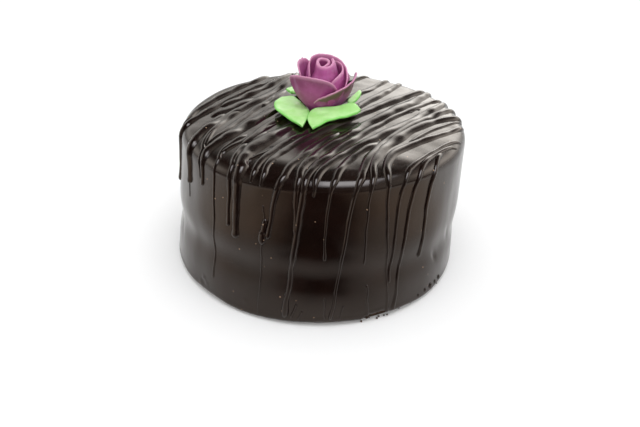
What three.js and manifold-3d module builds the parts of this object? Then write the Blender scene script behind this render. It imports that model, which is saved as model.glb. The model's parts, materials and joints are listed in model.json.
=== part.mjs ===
// A whole six-inch cake under dark chocolate glaze, drizzled with chocolate strands that run over the rim
// and down the side, and topped with a piped icing rose on four piped leaves.
// Millimetres, +Z up. The origin is the centre of the foot that the cake stands on, and the front faces -Y.
// Azimuths are in degrees about the cake's axis, 0 at the front and positive towards +X.

import * as THREE from 'three';
import { mergeVertices } from 'three/addons/utils/BufferGeometryUtils.js';
import Module from 'manifold-3d';

const wasm = await Module();
wasm.setup();

// Driving dimensions of the cake
const HEIGHT = 80;
const FOOT_RADIUS = 79.5;
const RIM_RADIUS = 76.4;
const RIM_ROUND = 8; // the rim's whole height
const RIM_FALL = 14; // width of the band where the top falls gently, inside the round rim
const RIM_SLOPE = 8; // degrees that the band slopes at its outer end, on average
const RIM_SWAY = 0.5; // it slopes more at the front left, and less at the back
const LEAN = 3.4; // how far the top has settled towards +X

// The seam between the layers shows through the glaze as a waist, with a soft bulge above it
const WAIST_HEIGHT = 26;
const WAIST_DEPTH = 0.9;
const WAIST_SPREAD = 8;
const WAIST_SWAY = 3; // the seam runs higher at the front than at the back
const BULGE_HEIGHT = 42;
const BULGE_SIZE = 0.4;
const BULGE_SPREAD = 12;

// The glaze ends in a skirt that stops short of the surface, in front of a recessed crumb foot
const CRUMB_INSET = 3.2;
const SKIRT_GAP = 1.8;
const SKIRT_ROUND = 1.6;
const CHIP = { from: 17, to: 29, edge: 3, rise: 2.2 };

// Drizzle
const STRAND_SUNK = 0.3; // share of a strand's height that the axis lies under the glaze
const STRAND_SPREAD = [1.15, 1.75]; // the strands have spread out, a little at the rim and more inside it
const STRAND_FLAT = [0.8, 0.52]; // and lie flatter there
const SPREAD_REACH = 24; // over this distance from the rim
const CHORD_REACH = 72.6; // distance from the top's centre where the strands' courses begin and end
const STRAND_KEEL = 4; // how deep a strand is rooted in the glaze
const MOST_HANDLE = 26; // how far into the top a strand keeps the heading that it has at the rim
const SWELL_PLACE = [0.25, 0.5]; // shares of a strand's course between which its radius changes
const END_TAPER = 0.35; // share of its radius that a strand keeps where it ends on the top
const BEND_LENGTH = 5; // distance over which a strand on the rim turns to run straight down
const MOST_HEADING = 1; // radians off straight down at the rim
const BEAD_SWELL = 1.35;
const FAR_RUN_RADIUS = 1.4;
const IN_SIGHT = 100; // azimuth up to which the far ends show, and stop on the rim
const RIM_ENDS = [74, 77]; // heights where strands that stop on the rim end
const HIGH_ENDS = [58, 70]; // heights where runs out of sight end, short ones and long ones
const LOW_ENDS = [18, 52];
const HIGH_SHARE = 0.55;
const MOST_DRIFT = 4;
const DRAW_SEED = 20;

// Rose and leaves
const CLEARANCE = 0.3;
const ROSE = { x: 2, y: 8, clearing: 9 };
const PETAL_BASE_THICKNESS = 2.4;
const PETAL_RIM_THICKNESS = 1.0;
const BUD_SLOPE = 0.45;
const BUD_HEIGHT = 27.5;
const BUD_SHIFT = 0.5;
const LEAF_THICKNESS = 2.2;
const LEAF_EDGE_THICKNESS = 1.1;
const LEAF_WAVE = 0.4;
const LEAF_LIFT_START = [0, 0.2]; // shares of the length over which an edge lifts, past the round end
const LEAF_LIFT_FADE = [0.25, 0.8]; // shares of the length over which a lifted edge comes down

// How finely the solids are faceted
const AROUND = 48;
const STRAND_SIDES = { thin: 4, thick: 6 };
const THIN_STRAND = 1.2;
const TOP_STEP = 10;
const SIDE_STEP = 9;
const PETAL_STEP = 18;
const PETAL_ROWS = 4;
const BUD_SIDES = 16;
const LEAF_COLUMNS = 6;
const LEAF_ROWS = 12;
const LEAF_END_CUT = 0.02; // share of a leaf's length left out at each end, where its edges meet

const { lerp, smoothstep, clamp, degToRad: radians, radToDeg: degrees } = THREE.MathUtils;

function seededDraw(seed) {
  let state = seed;
  return (low = 0, high = 1) => {
    state = (Math.imul(state, 1664525) + 1013904223) >>> 0;
    return lerp(low, high, state / 2 ** 32);
  };
}

const bump = (x, centre, spread) => Math.exp(-(((x - centre) / spread) ** 2));

// Closed meshes and solids

function meshGeometry(points, triangles) {
  const geometry = new THREE.BufferGeometry();
  const coordinates = points.flatMap((point) => point.toArray());
  geometry.setAttribute('position', new THREE.Float32BufferAttribute(coordinates, 3));
  geometry.setIndex(triangles.flat());
  return geometry;
}

function solidOf(geometry) {
  const bare = geometry.clone();
  bare.deleteAttribute('normal');
  bare.deleteAttribute('uv');
  const merged = mergeVertices(bare, 1e-4);
  return new wasm.Manifold(new wasm.Mesh({
    numProp: 3,
    vertProperties: new Float32Array(merged.attributes.position.array),
    triVerts: new Uint32Array(merged.index.array),
  }));
}

function geometryOf(solid) {
  const { vertProperties, triVerts } = solid.getMesh();
  const geometry = new THREE.BufferGeometry();
  geometry.setAttribute('position', new THREE.Float32BufferAttribute(vertProperties, 3));
  geometry.setIndex(Array.from(triVerts));
  return geometry;
}

const joined = (solids) => solids.reduce((whole, solid) => whole.add(solid));

// The one outer body of a solid, without specks apart from it or bubbles closed in by crossing strands
const outerBody = (solid) => solid.decompose().reduce((a, b) => (b.volume() > a.volume() ? b : a));

// A closed tube through rings that all have the same number of points
function tubeOf(rings) {
  const sides = rings[0].length;
  const points = rings.flat();
  const triangles = [];
  for (let r = 0; r < rings.length - 1; r++) {
    for (let k = 0; k < sides; k++) {
      const a = r * sides + k;
      const b = r * sides + ((k + 1) % sides);
      triangles.push([a, b, b + sides], [a, b + sides, a + sides]);
    }
  }
  const last = (rings.length - 1) * sides;
  for (let k = 1; k < sides - 1; k++) {
    triangles.push([0, k + 1, k], [last, last + k, last + k + 1]);
  }
  return meshGeometry(points, triangles);
}

// A thin sheet with thickness: place(u, v, face) gives its points, u and v from 0 to 1 and face 1 or -1.
// Both faces are split into triangles alike.
function sheetOf(columns, rows, place) {
  const points = [];
  const triangles = [];
  const faceSize = (columns + 1) * (rows + 1);
  for (const face of [1, -1]) {
    for (let j = 0; j <= rows; j++) {
      for (let i = 0; i <= columns; i++) points.push(place(i / columns, j / rows, face));
    }
  }
  const at = (i, j) => j * (columns + 1) + i;
  for (let j = 0; j < rows; j++) {
    for (let i = 0; i < columns; i++) {
      const [a, b, c, d] = [at(i, j), at(i + 1, j), at(i + 1, j + 1), at(i, j + 1)];
      const pair = [[a, b, c], [a, c, d]];
      const behind = pair.map(([p, q, r]) => [p + faceSize, r + faceSize, q + faceSize]);
      triangles.push(...pair, ...behind);
    }
  }
  const border = [];
  for (let i = 0; i < columns; i++) border.push(at(i, 0));
  for (let j = 0; j < rows; j++) border.push(at(columns, j));
  for (let i = columns; i > 0; i--) border.push(at(i, rows));
  for (let j = rows; j > 0; j--) border.push(at(0, j));
  border.forEach((a, k) => {
    const b = border[(k + 1) % border.length];
    triangles.push([a, a + faceSize, b + faceSize], [a, b + faceSize, b]);
  });
  return meshGeometry(points, triangles);
}

// The glazed body: its radius at an azimuth and height, and points on it by distance from the top's centre

function sideRadius(azimuth, z) {
  const a = radians(azimuth);
  const slope = lerp(FOOT_RADIUS, RIM_RADIUS, z / (HEIGHT - RIM_ROUND));
  const waistAt = WAIST_HEIGHT + WAIST_SWAY * Math.cos(a + 0.6);
  const waist = WAIST_DEPTH * (1 + 0.35 * Math.cos(a) - 0.3 * Math.sin(a)) * bump(z, waistAt, WAIST_SPREAD);
  const bulge = BULGE_SIZE * (1 + 0.4 * Math.cos(a + 1.2)) * bump(z, BULGE_HEIGHT, BULGE_SPREAD);
  const uneven = 0.3 * Math.sin(2 * a + 1.1) + 0.4 * Math.sin(3 * a + 0.9 + 0.03 * z);
  return slope - waist + bulge + uneven;
}

// How far the top has fallen at a share of the band inside the rim, which slopes more and more
const rimDrop = (slope, share) => (share ** 2 * RIM_FALL * Math.tan(slope)) / 2;

// The rim at an azimuth: the slope where its round starts, the round's radius and centre, the distance where
// it starts and its length
function rimAt(azimuth) {
  const slope = radians(RIM_SLOPE * (1 + RIM_SWAY * Math.cos(radians(azimuth + 20))));
  const round = (RIM_ROUND - rimDrop(slope, 1)) / Math.cos(slope);
  const centre = sideRadius(azimuth, HEIGHT - RIM_ROUND) - round;
  return { slope, round, centre, bend: centre + round * Math.sin(slope), arc: round * (Math.PI / 2 - slope) };
}

function cakePoint(azimuth, radius, z) {
  const a = radians(azimuth);
  return new THREE.Vector3(radius * Math.sin(a) + (LEAN * z) / HEIGHT, -radius * Math.cos(a), z);
}

// Where a point at this distance from the top's centre lies, and which way the glaze faces there
function glazeAt(azimuth, distance) {
  const a = radians(azimuth);
  const { slope, round, centre, bend, arc } = rimAt(azimuth);
  const past = distance - bend;
  const share = clamp(past / RIM_FALL + 1, 0, 1);
  const turn = past < 0 ? Math.atan(share * Math.tan(slope)) : Math.min(slope + past / round, Math.PI / 2);
  const [outward, upward] = [Math.sin(turn), Math.cos(turn)];
  const normal = new THREE.Vector3(outward * Math.sin(a), -outward * Math.cos(a), upward);
  if (past <= 0) return { point: cakePoint(azimuth, distance, HEIGHT - rimDrop(slope, share)), normal };
  if (past < arc) {
    const z = HEIGHT - RIM_ROUND + round * upward;
    return { point: cakePoint(azimuth, centre + round * outward, z), normal };
  }
  const z = HEIGHT - RIM_ROUND - (past - arc);
  return { point: cakePoint(azimuth, sideRadius(azimuth, z), z), normal };
}

// The lower edge of the skirt is uneven, and chipped at the front right
function skirtHeight(azimuth) {
  const a = radians(azimuth);
  const wave = 0.5 * Math.sin(5 * a + 0.4) + 0.35 * Math.sin(9 * a + 2.0) + 0.25 * Math.sin(14 * a);
  const chipStart = smoothstep(azimuth, CHIP.from, CHIP.from + CHIP.edge);
  const chipEnd = smoothstep(azimuth, CHIP.to - CHIP.edge, CHIP.to);
  return SKIRT_GAP * (1 + 0.5 * wave) + CHIP.rise * (chipStart - chipEnd);
}

// The outline turned about the axis, with each of its points then moved out or in to the uneven glaze
function bodySolid() {
  const sideHeights = [9, 17, 24, 31, 40, 54];
  const rimShares = [0, 0.3, 0.65, 1];
  const fallShares = [0.5, 0];
  const meridian = (azimuth) => {
    const skirt = skirtHeight(azimuth);
    const foot = sideRadius(azimuth, 0);
    const { slope, round, centre, bend } = rimAt(azimuth);
    return [
      [foot - CRUMB_INSET, 0],
      [foot - CRUMB_INSET, skirt],
      [foot - SKIRT_ROUND * 0.5, skirt],
      [foot, skirt + SKIRT_ROUND],
      ...sideHeights.map((z) => [sideRadius(azimuth, z), z]),
      ...rimShares.map((share) => {
        const turn = lerp(Math.PI / 2, slope, share);
        return [centre + round * Math.sin(turn), HEIGHT - RIM_ROUND + round * Math.cos(turn)];
      }),
      ...fallShares.map((share) => [bend - RIM_FALL * (1 - share), HEIGHT - rimDrop(slope, share)]),
    ];
  };
  const profile = [[0, 0], ...meridian(0), [0, HEIGHT]].map(([r, z]) => new THREE.Vector2(r, z));
  const levels = profile.length;
  const outline = new THREE.LatheGeometry(profile, AROUND);
  const position = outline.attributes.position;
  for (let n = 0; n < position.count; n++) {
    const level = n % levels;
    const azimuth = ((Math.floor(n / levels) * 360) / AROUND + 180) % 360 - 180;
    const column = [[0, 0], ...meridian(azimuth), [0, HEIGHT]];
    const moved = cakePoint(azimuth, ...column[level]);
    position.setXYZ(n, moved.x, moved.y, moved.z);
  }
  return solidOf(outline);
}

// The drizzle. Each strand runs over the top along a curve between two places on the rim, and hangs down the
// side from there, unless it starts or stops on the top.

// The course of each strand: its azimuths on the rim at the front and at the back, and its headings there in
// degrees from +X. Then its radii towards both ends, the shares of the course where it starts and stops, and
// the azimuth, lower end, radius and drift of its run down the front.
const STRANDS = [
  { course: [-85, -150, 81, 62], radii: [1.6, 1.8], run: [-83, 75, 1.3, 0] },
  { course: [-67, -165.7, 64, 64], radii: [1.6, 1.6], extent: [0.1, 0.32] },
  { course: [-81.5, -165, 60, 44], radii: [1.9, 1.4], run: [-79, 47, 1.8, 0] },
  { course: [-75, -163.5, 77, 71], radii: [1.7, 1.7], extent: [0.33, 1] },
  { course: [-70, -172, 82, 77], radii: [2.2, 2.2], extent: [0.22, 0.52] },
  { course: [-63.3, -167, 76, 85], radii: [2.4, 1.7], run: [-60.5, 57, 2.3, 0] },
  { course: [-54.5, -177.5, 102, 47], radii: [1.3, 1.3], extent: [0, 0.5], run: [-51.7, 65, 1.5, 1] },
  { course: [-53, -178.5, 102, 27], radii: [1.2, 1.2], extent: [0.04, 0.36] },
  { course: [-54, -172.8, 68, 67], radii: [1.2, 1.2], extent: [0.05, 0.62] },
  { course: [-52, -186.8, 61, 61], radii: [1.7, 1.7], extent: [0.15, 0.46] },
  { course: [-50.9, -181.6, 64, 64], radii: [1.1, 1.1], extent: [0.38, 0.54] },
  { course: [-54.8, -174.5, 65, 65], radii: [1.2, 1.2], extent: [0.46, 0.68] },
  { course: [-51.7, -192, 60, 50], radii: [2.3, 1.8], run: [-48.7, 62, 1.6, -1] },
  { course: [-43.4, -212, 100, 75], radii: [1, 1], extent: [0, 0.25], run: [-42.2, 13, 0.9, 0] },
  { course: [-44.8, -201.5, 57, 57], radii: [1.2, 1.2], extent: [0.04, 0.4] },
  { course: [-38.9, -192.5, 64, 64], radii: [1, 1], extent: [0.17, 0.3] },
  { course: [-37, -202, 92, 41], radii: [1.5, 1.5], extent: [0.17, 1] },
  { course: [-36, -210, 100, 60], radii: [1.2, 1.2], extent: [0, 0.2], run: [-34.7, 48, 1.4, 0] },
  { course: [-31.8, -213, 100, 62], radii: [2.9, 1.5], run: [-31.2, 43, 2.7, 0] },
  { course: [-32.9, -231.4, 48, 48], radii: [1.1, 1.1], extent: [0.05, 0.22] },
  { course: [-26, -220, 86, 70], radii: [1.5, 1.7], run: [-25.8, 74, 1.3, 0] },
  { course: [-22, -234.4, 92, 42], radii: [1.4, 2], run: [-21.8, 73, 1.2, 0] },
  { course: [-14.3, -238.5, 80, 28], radii: [1.7, 1.6], extent: [0, 0.42], run: [-15.6, 47, 1.8, -3] },
  { course: [-8.6, -238, 95, 63], radii: [1.8, 2.4], run: [-9.8, 52, 1.7, 1.5] },
  { course: [-6.3, -247, 74, 35], radii: [1.8, 1.4], run: [-6.5, 4, 1.9, -4.5] },
  { course: [-2.8, -251, 78, 65], radii: [1.7, 2], run: [-3.3, 71, 1.1, 0] },
  { course: [4.3, -256, 83, 57], radii: [1.5, 1.5], extent: [0, 0.42], run: [1.8, 38, 0.9, 0] },
  { course: [13.8, -259, 88, 39], radii: [1.7, 1.8], run: [10.8, 4, 1.1, -5] },
  { course: [18.4, -268, 95, 25], radii: [1.6, 2], run: [16, 34, 1, 0] },
  { course: [24, -279, 102, 50], radii: [1.7, 1.8], run: [22.4, 3, 1.1, 5] },
  { course: [24, -272, 85, 41], radii: [1, 1], extent: [0.45, 1] },
  { course: [33.5, -293, 56, 42], radii: [1.4, 1.2], run: [28.2, 20, 1.2, -1] },
  { course: [41, -299, 62, 40], radii: [1.3, 1.1], run: [34, 3, 1.3, -4] },
  { course: [50, -296, 62, 52], radii: [1.3, 1.2], extent: [0, 0.3], run: [42.2, 28, 1.5, -1] },
  { course: [-58, -175.5, 66, 60], radii: [1.5, 1.5], extent: [0.74, 1] },
  { course: [-46, -182.5, 60, 40], radii: [1.6, 1.6], extent: [0.82, 1] },
];

function courseOf([near, far, nearHeading, farHeading]) {
  const [from, to] = [near, far].map((azimuth) => {
    const a = radians(azimuth);
    return new THREE.Vector2(Math.sin(a), -Math.cos(a)).multiplyScalar(CHORD_REACH);
  });
  const handle = Math.min(from.distanceTo(to) / 3, MOST_HANDLE);
  const [leaving, arriving] = [nearHeading, farHeading].map((heading) => (
    new THREE.Vector2(Math.cos(radians(heading)), Math.sin(radians(heading))).multiplyScalar(handle)));
  return new THREE.CubicBezierCurve(from, from.clone().add(leaving), to.clone().sub(arriving), to);
}

function topStops({ course, radii, extent: [begin, stop] = [0, 1] }) {
  const curve = courseOf(course);
  const steps = Math.max(3, Math.round((curve.getLength() * (stop - begin)) / TOP_STEP));
  return Array.from({ length: steps + 1 }, (_, n) => {
    const share = lerp(begin, stop, n / steps);
    const plan = curve.getPoint(share);
    const ending = (n === 0 && begin > 0) || (n === steps && stop < 1);
    const inside = smoothstep(CHORD_REACH - plan.length(), 0, SPREAD_REACH);
    const swell = lerp(...radii, smoothstep(share, ...SWELL_PLACE)) * (ending ? END_TAPER : 1);
    return {
      azimuth: degrees(Math.atan2(plan.x, -plan.y)),
      distance: plan.length(),
      radius: swell * lerp(...STRAND_SPREAD, inside),
      flat: lerp(...STRAND_FLAT, inside),
    };
  });
}

// Past its course a strand slides sideways for a short way and then runs straight down.
// The marks are the distances past the course where the strand gets a section.
function hangingRun(start, slide, [endHeight, radius, drift]) {
  const { bend, arc } = rimAt(start.azimuth);
  const overRim = bend + arc - start.distance;
  const fall = HEIGHT - RIM_ROUND - endHeight;
  const length = overRim + fall;
  const sideSteps = Math.max(0, Math.round(fall / SIDE_STEP));
  const sideMarks = Array.from({ length: sideSteps }, (_, n) => lerp(overRim, length, (n + 1) / sideSteps));
  const rimEnd = Math.min(overRim, length);
  return [rimEnd / 2, rimEnd, ...sideMarks].map((past) => {
    const azimuth = start.azimuth + slide * (1 - Math.exp(-past / BEND_LENGTH)) + (drift * past) / length;
    const turned = smoothstep(past, 0, overRim);
    const width = lerp(start.radius, radius, turned) * strandSwell(past / length);
    return { azimuth, distance: start.distance + past, radius: width, flat: lerp(start.flat, 1, turned) };
  });
}

// How far to the side a strand slides at the back, where it comes over the rim at a slant
function farSlide(azimuth, heading) {
  const turn = radians(heading - azimuth + 90);
  const slant = Math.atan2(Math.sin(turn), Math.cos(turn));
  return degrees((BEND_LENGTH * Math.tan(clamp(slant, -MOST_HEADING, MOST_HEADING))) / RIM_RADIUS);
}

function farRun(azimuth, draw) {
  if (Math.cos(radians(azimuth)) > Math.cos(radians(IN_SIGHT))) return [draw(...RIM_ENDS), FAR_RUN_RADIUS, 0];
  const heights = draw() < HIGH_SHARE ? HIGH_ENDS : LOW_ENDS;
  return [draw(...heights), FAR_RUN_RADIUS, draw(-MOST_DRIFT, MOST_DRIFT)];
}

function strandPath(strand, draw) {
  const [near, far, , farHeading] = strand.course;
  const onTop = topStops(strand);
  const stops = [...onTop];
  if (strand.run) {
    const [azimuth, ...run] = strand.run;
    stops.unshift(...hangingRun(onTop[0], azimuth - near, run).reverse());
  }
  if (!strand.extent || strand.extent[1] === 1) {
    stops.push(...hangingRun(onTop[onTop.length - 1], farSlide(far, farHeading), farRun(far, draw)));
  }
  return stops.map(({ azimuth, distance, radius, flat }) => (
    { ...glazeAt(azimuth, distance), radius, height: radius * flat }));
}

// A run thins as it falls and ends in a small bead
function strandSwell(share) {
  const thinning = 1 - 0.3 * smoothstep(share, 0, 0.8);
  return thinning * lerp(1, BEAD_SWELL, smoothstep(share, 0.8, 1));
}

function strandSolid(strand, draw) {
  const path = strandPath(strand, draw);
  const sides = Math.max(...strand.radii) < THIN_STRAND ? STRAND_SIDES.thin : STRAND_SIDES.thick;
  const rings = path.map(({ point, normal, radius, height }, n) => {
    const before = path[Math.max(n - 1, 0)].point;
    const after = path[Math.min(n + 1, path.length - 1)].point;
    const forward = after.clone().sub(before).normalize();
    const across = normal.clone().cross(forward).normalize();
    const up = forward.clone().cross(across);
    const axis = point.clone().addScaledVector(normal, -STRAND_SUNK * height);
    return Array.from({ length: sides }, (_, k) => {
      const turn = (2 * Math.PI * k) / sides + (sides === STRAND_SIDES.thick ? Math.PI / 6 : 0);
      const rise = Math.sin(turn) * (Math.sin(turn) < -0.1 ? STRAND_KEEL : height);
      return axis.clone().addScaledVector(across, radius * Math.cos(turn)).addScaledVector(up, rise);
    });
  });
  return solidOf(tubeOf(rings));
}

// The strands stop under the rose, which stands on the bare glaze
function drizzledCake() {
  const depth = 3 * STRAND_KEEL;
  const roseFoot = new THREE.CylinderGeometry(ROSE.clearing, ROSE.clearing, depth).rotateX(Math.PI / 2);
  roseFoot.translate(ROSE.x, ROSE.y, HEIGHT);
  const draw = seededDraw(DRAW_SEED);
  const strands = STRANDS.map((strand) => strandSolid(strand, draw));
  const drizzle = joined(strands).subtract(solidOf(roseFoot));
  return outerBody(bodySolid().add(drizzle));
}

// The rose stands on its own axis, with its foot at height 0. A petal spans two azimuths, and its rim has a
// radius and a height at its start, its middle and its end. The ends fall away a little. From foot to rim
// a petal spreads by its bend and swells by its belly, each given at its start and its end.

const through = ([a, b, c], u) => a * (2 * u - 1) * (u - 1) + 4 * b * u * (1 - u) + c * u * (2 * u - 1);

function petalSolid({ from, to, foot, radius, height, bend = [1, 1], belly, curl }) {
  const place = (u, v, face) => {
    const azimuth = radians(lerp(from, to, u));
    const ends = 1 - Math.abs(2 * u - 1) ** 6;
    const thickness = lerp(PETAL_BASE_THICKNESS, PETAL_RIM_THICKNESS, v) * lerp(0.6, 1, ends);
    const spread = lerp(foot, through(radius, u), v ** lerp(...bend, u * u));
    const flare = spread + lerp(...belly, u * u) * Math.sin(Math.PI * v) + curl * v ** 6;
    const r = flare + (face * thickness) / 2;
    const z = v * through(height, u) * lerp(0.8, 1, ends);
    return new THREE.Vector3(r * Math.sin(azimuth), -r * Math.cos(azimuth), z);
  };
  const columns = Math.max(5, Math.round((to - from) / PETAL_STEP));
  return solidOf(sheetOf(columns, PETAL_ROWS, place));
}

// The bud is rolled up round a hollow, and its mouth slopes down to the front
function budSolid() {
  const outer = [[0, 0], [6, 0], [9.6, 8], [9.6, 13], [8.4, 19], [7, 24], [5.5, BUD_HEIGHT]];
  const inner = [[2.6, BUD_HEIGHT], [2.2, 23], [0, 21]];
  const outline = [...outer, ...inner].map(([r, z]) => new THREE.Vector2(r, z));
  const bud = new THREE.LatheGeometry(outline, BUD_SIDES).rotateX(Math.PI / 2);
  const position = bud.attributes.position;
  for (let n = 0; n < position.count; n++) {
    const [y, z] = [position.getY(n), position.getZ(n)];
    position.setZ(n, z + BUD_SLOPE * y * smoothstep(z, 16, BUD_HEIGHT));
    position.setX(n, position.getX(n) + BUD_SHIFT * smoothstep(z, 0, 12));
  }
  return solidOf(bud);
}

const PETALS = [
  {
    from: 52, to: 286, foot: 4, radius: [16.4, 11, 7.2], height: [19, 28.4, 24],
    belly: [0.6, 2.6], curl: -1.2,
  },
  {
    from: 18, to: 150, foot: 5, radius: [9.4, 11.4, 8.6], height: [18, 24, 27],
    belly: [3, 2.4], curl: -0.5,
  },
  {
    from: -150, to: -72, foot: 4, radius: [10.5, 12.8, 11], height: [25, 26.5, 21.5],
    belly: [1.2, 1.2], curl: 0.4,
  },
  {
    from: 105, to: 235, foot: 4.4, radius: [15, 14.5, 13], height: [20, 20, 19],
    belly: [1.2, 1.2], curl: 1,
  },
  {
    from: -104, to: 42, foot: 4.4, radius: [16.2, 14.2, 12], height: [17.4, 23, 17.5],
    belly: [3.1, 0], curl: 1.2,
  },
  {
    from: -24, to: 112, foot: 5, radius: [9.5, 15.2, 18.5], height: [9, 16.5, 23],
    bend: [1.5, 0.35], belly: [0.2, 2], curl: 1,
  },
];

function roseSolid() {
  const whole = joined([budSolid(), ...PETALS.map(petalSolid)]);
  return outerBody(whole).translate(ROSE.x, ROSE.y, HEIGHT + CLEARANCE);
}

// A leaf is one stroke of icing, from a round outer end to a tip that was pulled away. Its left and right
// edges, as seen from that end, are smooth curves to the tip through the points given.

function leafGeometry({ end, left, right, tip, endHeight, tipHeight, lift }) {
  const [leftEdge, rightEdge] = [left, right].map((points) => (
    new THREE.SplineCurve([end, ...points, tip].map(([x, y]) => new THREE.Vector2(x, y)))));
  const place = (u, v, face) => {
    const along = lerp(LEAF_END_CUT, 1 - LEAF_END_CUT, v);
    const plan = leftEdge.getPoint(along).lerp(rightEdge.getPoint(along), u);
    const edge = (2 * u - 1) ** 2;
    const thickness = lerp(LEAF_THICKNESS, LEAF_EDGE_THICKNESS, Math.max(edge, v ** 4));
    const raised = lift * u ** 2 * smoothstep(v, ...LEAF_LIFT_START) * (1 - smoothstep(v, ...LEAF_LIFT_FADE));
    const wave = LEAF_WAVE * Math.sin(7 * v + 4 * u) * edge * (1 - v ** 3) + raised;
    const z = HEIGHT + lerp(endHeight, tipHeight, smoothstep(v, 0, 1)) + wave;
    return new THREE.Vector3(plan.x, plan.y, z + (face * thickness) / 2);
  };
  return sheetOf(LEAF_COLUMNS, LEAF_ROWS, place);
}

const LEAVES = {
  leaf_front_left: {
    end: [-19.8, 14.4], right: [[-23, 7.2], [-21.8, -2.6], [-16.8, -10.2], [-11.4, -16]],
    left: [[-14, 16.4], [-8.4, 6.8], [-4.9, -1.6], [-5.8, -12.4]], tip: [-7.6, -22],
    endHeight: 3.8, tipHeight: 2.3, lift: 1.3,
  },
  leaf_front_right: {
    end: [22.8, -1.8], right: [[19.4, 1.6], [9.4, -1.9], [-2.2, -2.7], [-5, -12.4]],
    left: [[20.6, -6.6], [14, -10.6], [6, -13.5], [0.5, -20]], tip: [-2.4, -24],
    endHeight: 4, tipHeight: 2.3, lift: 3,
  },
  leaf_back_left: {
    end: [-14.4, 19.8], right: [[-10.4, 20.4], [-6.4, 25.6], [-4, 31], [-2.5, 37]],
    left: [[-17.2, 23.6], [-17, 29], [-13, 35], [-7, 40]], tip: [-1, 42],
    endHeight: 5.4, tipHeight: 2.5, lift: 0,
  },
  leaf_back_right: {
    end: [17, 11.2], right: [[19.6, 12.2], [21.8, 15.2], [23.4, 18.6], [24.4, 22.4]],
    left: [[16.8, 13.6], [18.2, 17], [20.2, 20.4], [22.4, 24]], tip: [24, 26.6],
    endHeight: 3, tipHeight: 4.8, lift: 0,
  },
};

// The scene graph

const glaze = new THREE.MeshStandardMaterial({ color: 0x231a16, roughness: 0.3, metalness: 0 });
const roseIcing = new THREE.MeshStandardMaterial({ color: 0x8a3f78, roughness: 0.55, metalness: 0 });
const leafIcing = new THREE.MeshStandardMaterial({ color: 0x93e67c, roughness: 0.5, metalness: 0 });

const cake = new THREE.Group();

function addPiece(name, geometry, material) {
  const mesh = new THREE.Mesh(geometry, material);
  mesh.name = name;
  cake.add(mesh);
}

addPiece('cake', geometryOf(drizzledCake()), glaze);
addPiece('rose', geometryOf(roseSolid()), roseIcing);
for (const [name, leaf] of Object.entries(LEAVES)) addPiece(name, leafGeometry(leaf), leafIcing);

export default cake;
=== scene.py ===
# %% [markdown]
# # A glazed chocolate cake with drizzle, a rose and four leaves
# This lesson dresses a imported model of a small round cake. The solids say where each piece is and how
# large it is. The lesson models each one again with the finer form and the finish of the real food:
# poured chocolate glaze, strands of chocolate drizzled over it, and piped icing. The frame is loaded
# first, because every piece has to stay where its solid is.

# %% Load the frame
import json
import math

import bpy
from mathutils import Matrix, Vector, noise

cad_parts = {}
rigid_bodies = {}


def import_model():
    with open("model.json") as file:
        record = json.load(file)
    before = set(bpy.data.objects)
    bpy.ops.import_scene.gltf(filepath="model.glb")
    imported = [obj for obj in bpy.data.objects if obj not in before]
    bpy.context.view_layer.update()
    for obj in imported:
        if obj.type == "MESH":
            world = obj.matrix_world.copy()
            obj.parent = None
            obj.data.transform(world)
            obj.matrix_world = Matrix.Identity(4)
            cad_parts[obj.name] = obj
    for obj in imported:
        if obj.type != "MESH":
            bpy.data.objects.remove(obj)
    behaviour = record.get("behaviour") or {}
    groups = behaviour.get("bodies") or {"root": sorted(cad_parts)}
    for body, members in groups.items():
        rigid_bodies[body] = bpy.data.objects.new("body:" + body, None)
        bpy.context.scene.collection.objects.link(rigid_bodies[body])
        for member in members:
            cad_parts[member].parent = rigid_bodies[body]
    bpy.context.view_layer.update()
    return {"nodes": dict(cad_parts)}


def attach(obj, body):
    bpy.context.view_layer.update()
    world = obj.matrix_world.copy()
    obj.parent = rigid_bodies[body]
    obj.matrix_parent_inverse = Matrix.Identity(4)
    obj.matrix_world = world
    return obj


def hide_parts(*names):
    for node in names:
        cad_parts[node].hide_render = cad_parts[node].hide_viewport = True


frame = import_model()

MM = 0.001


print("nodes:", ", ".join(sorted(frame["nodes"])))

# %% [markdown]
# ## Small helpers
# An operator acts on all that is selected, so each step starts with nothing selected. Where a shape
# closes on itself, its doubles are merged and its faces turned outwards, and every finished piece is
# shaded smooth. These steps come back for each piece, so each is written once, as a function.

# %% Helpers for every piece
MERGE_GAP = 0.01 * MM


def clear_selection():
    if bpy.context.object and bpy.context.object.mode != "OBJECT":
        bpy.ops.object.mode_set(mode="OBJECT")
    bpy.ops.object.select_all(action="DESELECT")


def make_active(piece):
    clear_selection()
    piece.select_set(True)
    bpy.context.view_layer.objects.active = piece


def merge_and_face_outwards(piece, gap=MERGE_GAP):
    make_active(piece)
    bpy.ops.object.mode_set(mode="EDIT")
    bpy.ops.mesh.select_all(action="SELECT")
    bpy.ops.mesh.remove_doubles(threshold=gap)
    bpy.ops.mesh.normals_make_consistent(inside=False)
    bpy.ops.object.mode_set(mode="OBJECT")


def shade_and_report(piece):
    make_active(piece)
    bpy.ops.object.shade_smooth()
    triangles = sum(len(face.vertices) - 2 for face in piece.data.polygons)
    print(f"{piece.name}: {triangles} triangles")


clear_selection()
print("objects selected before the first step:", len(bpy.context.selected_objects))
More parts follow.
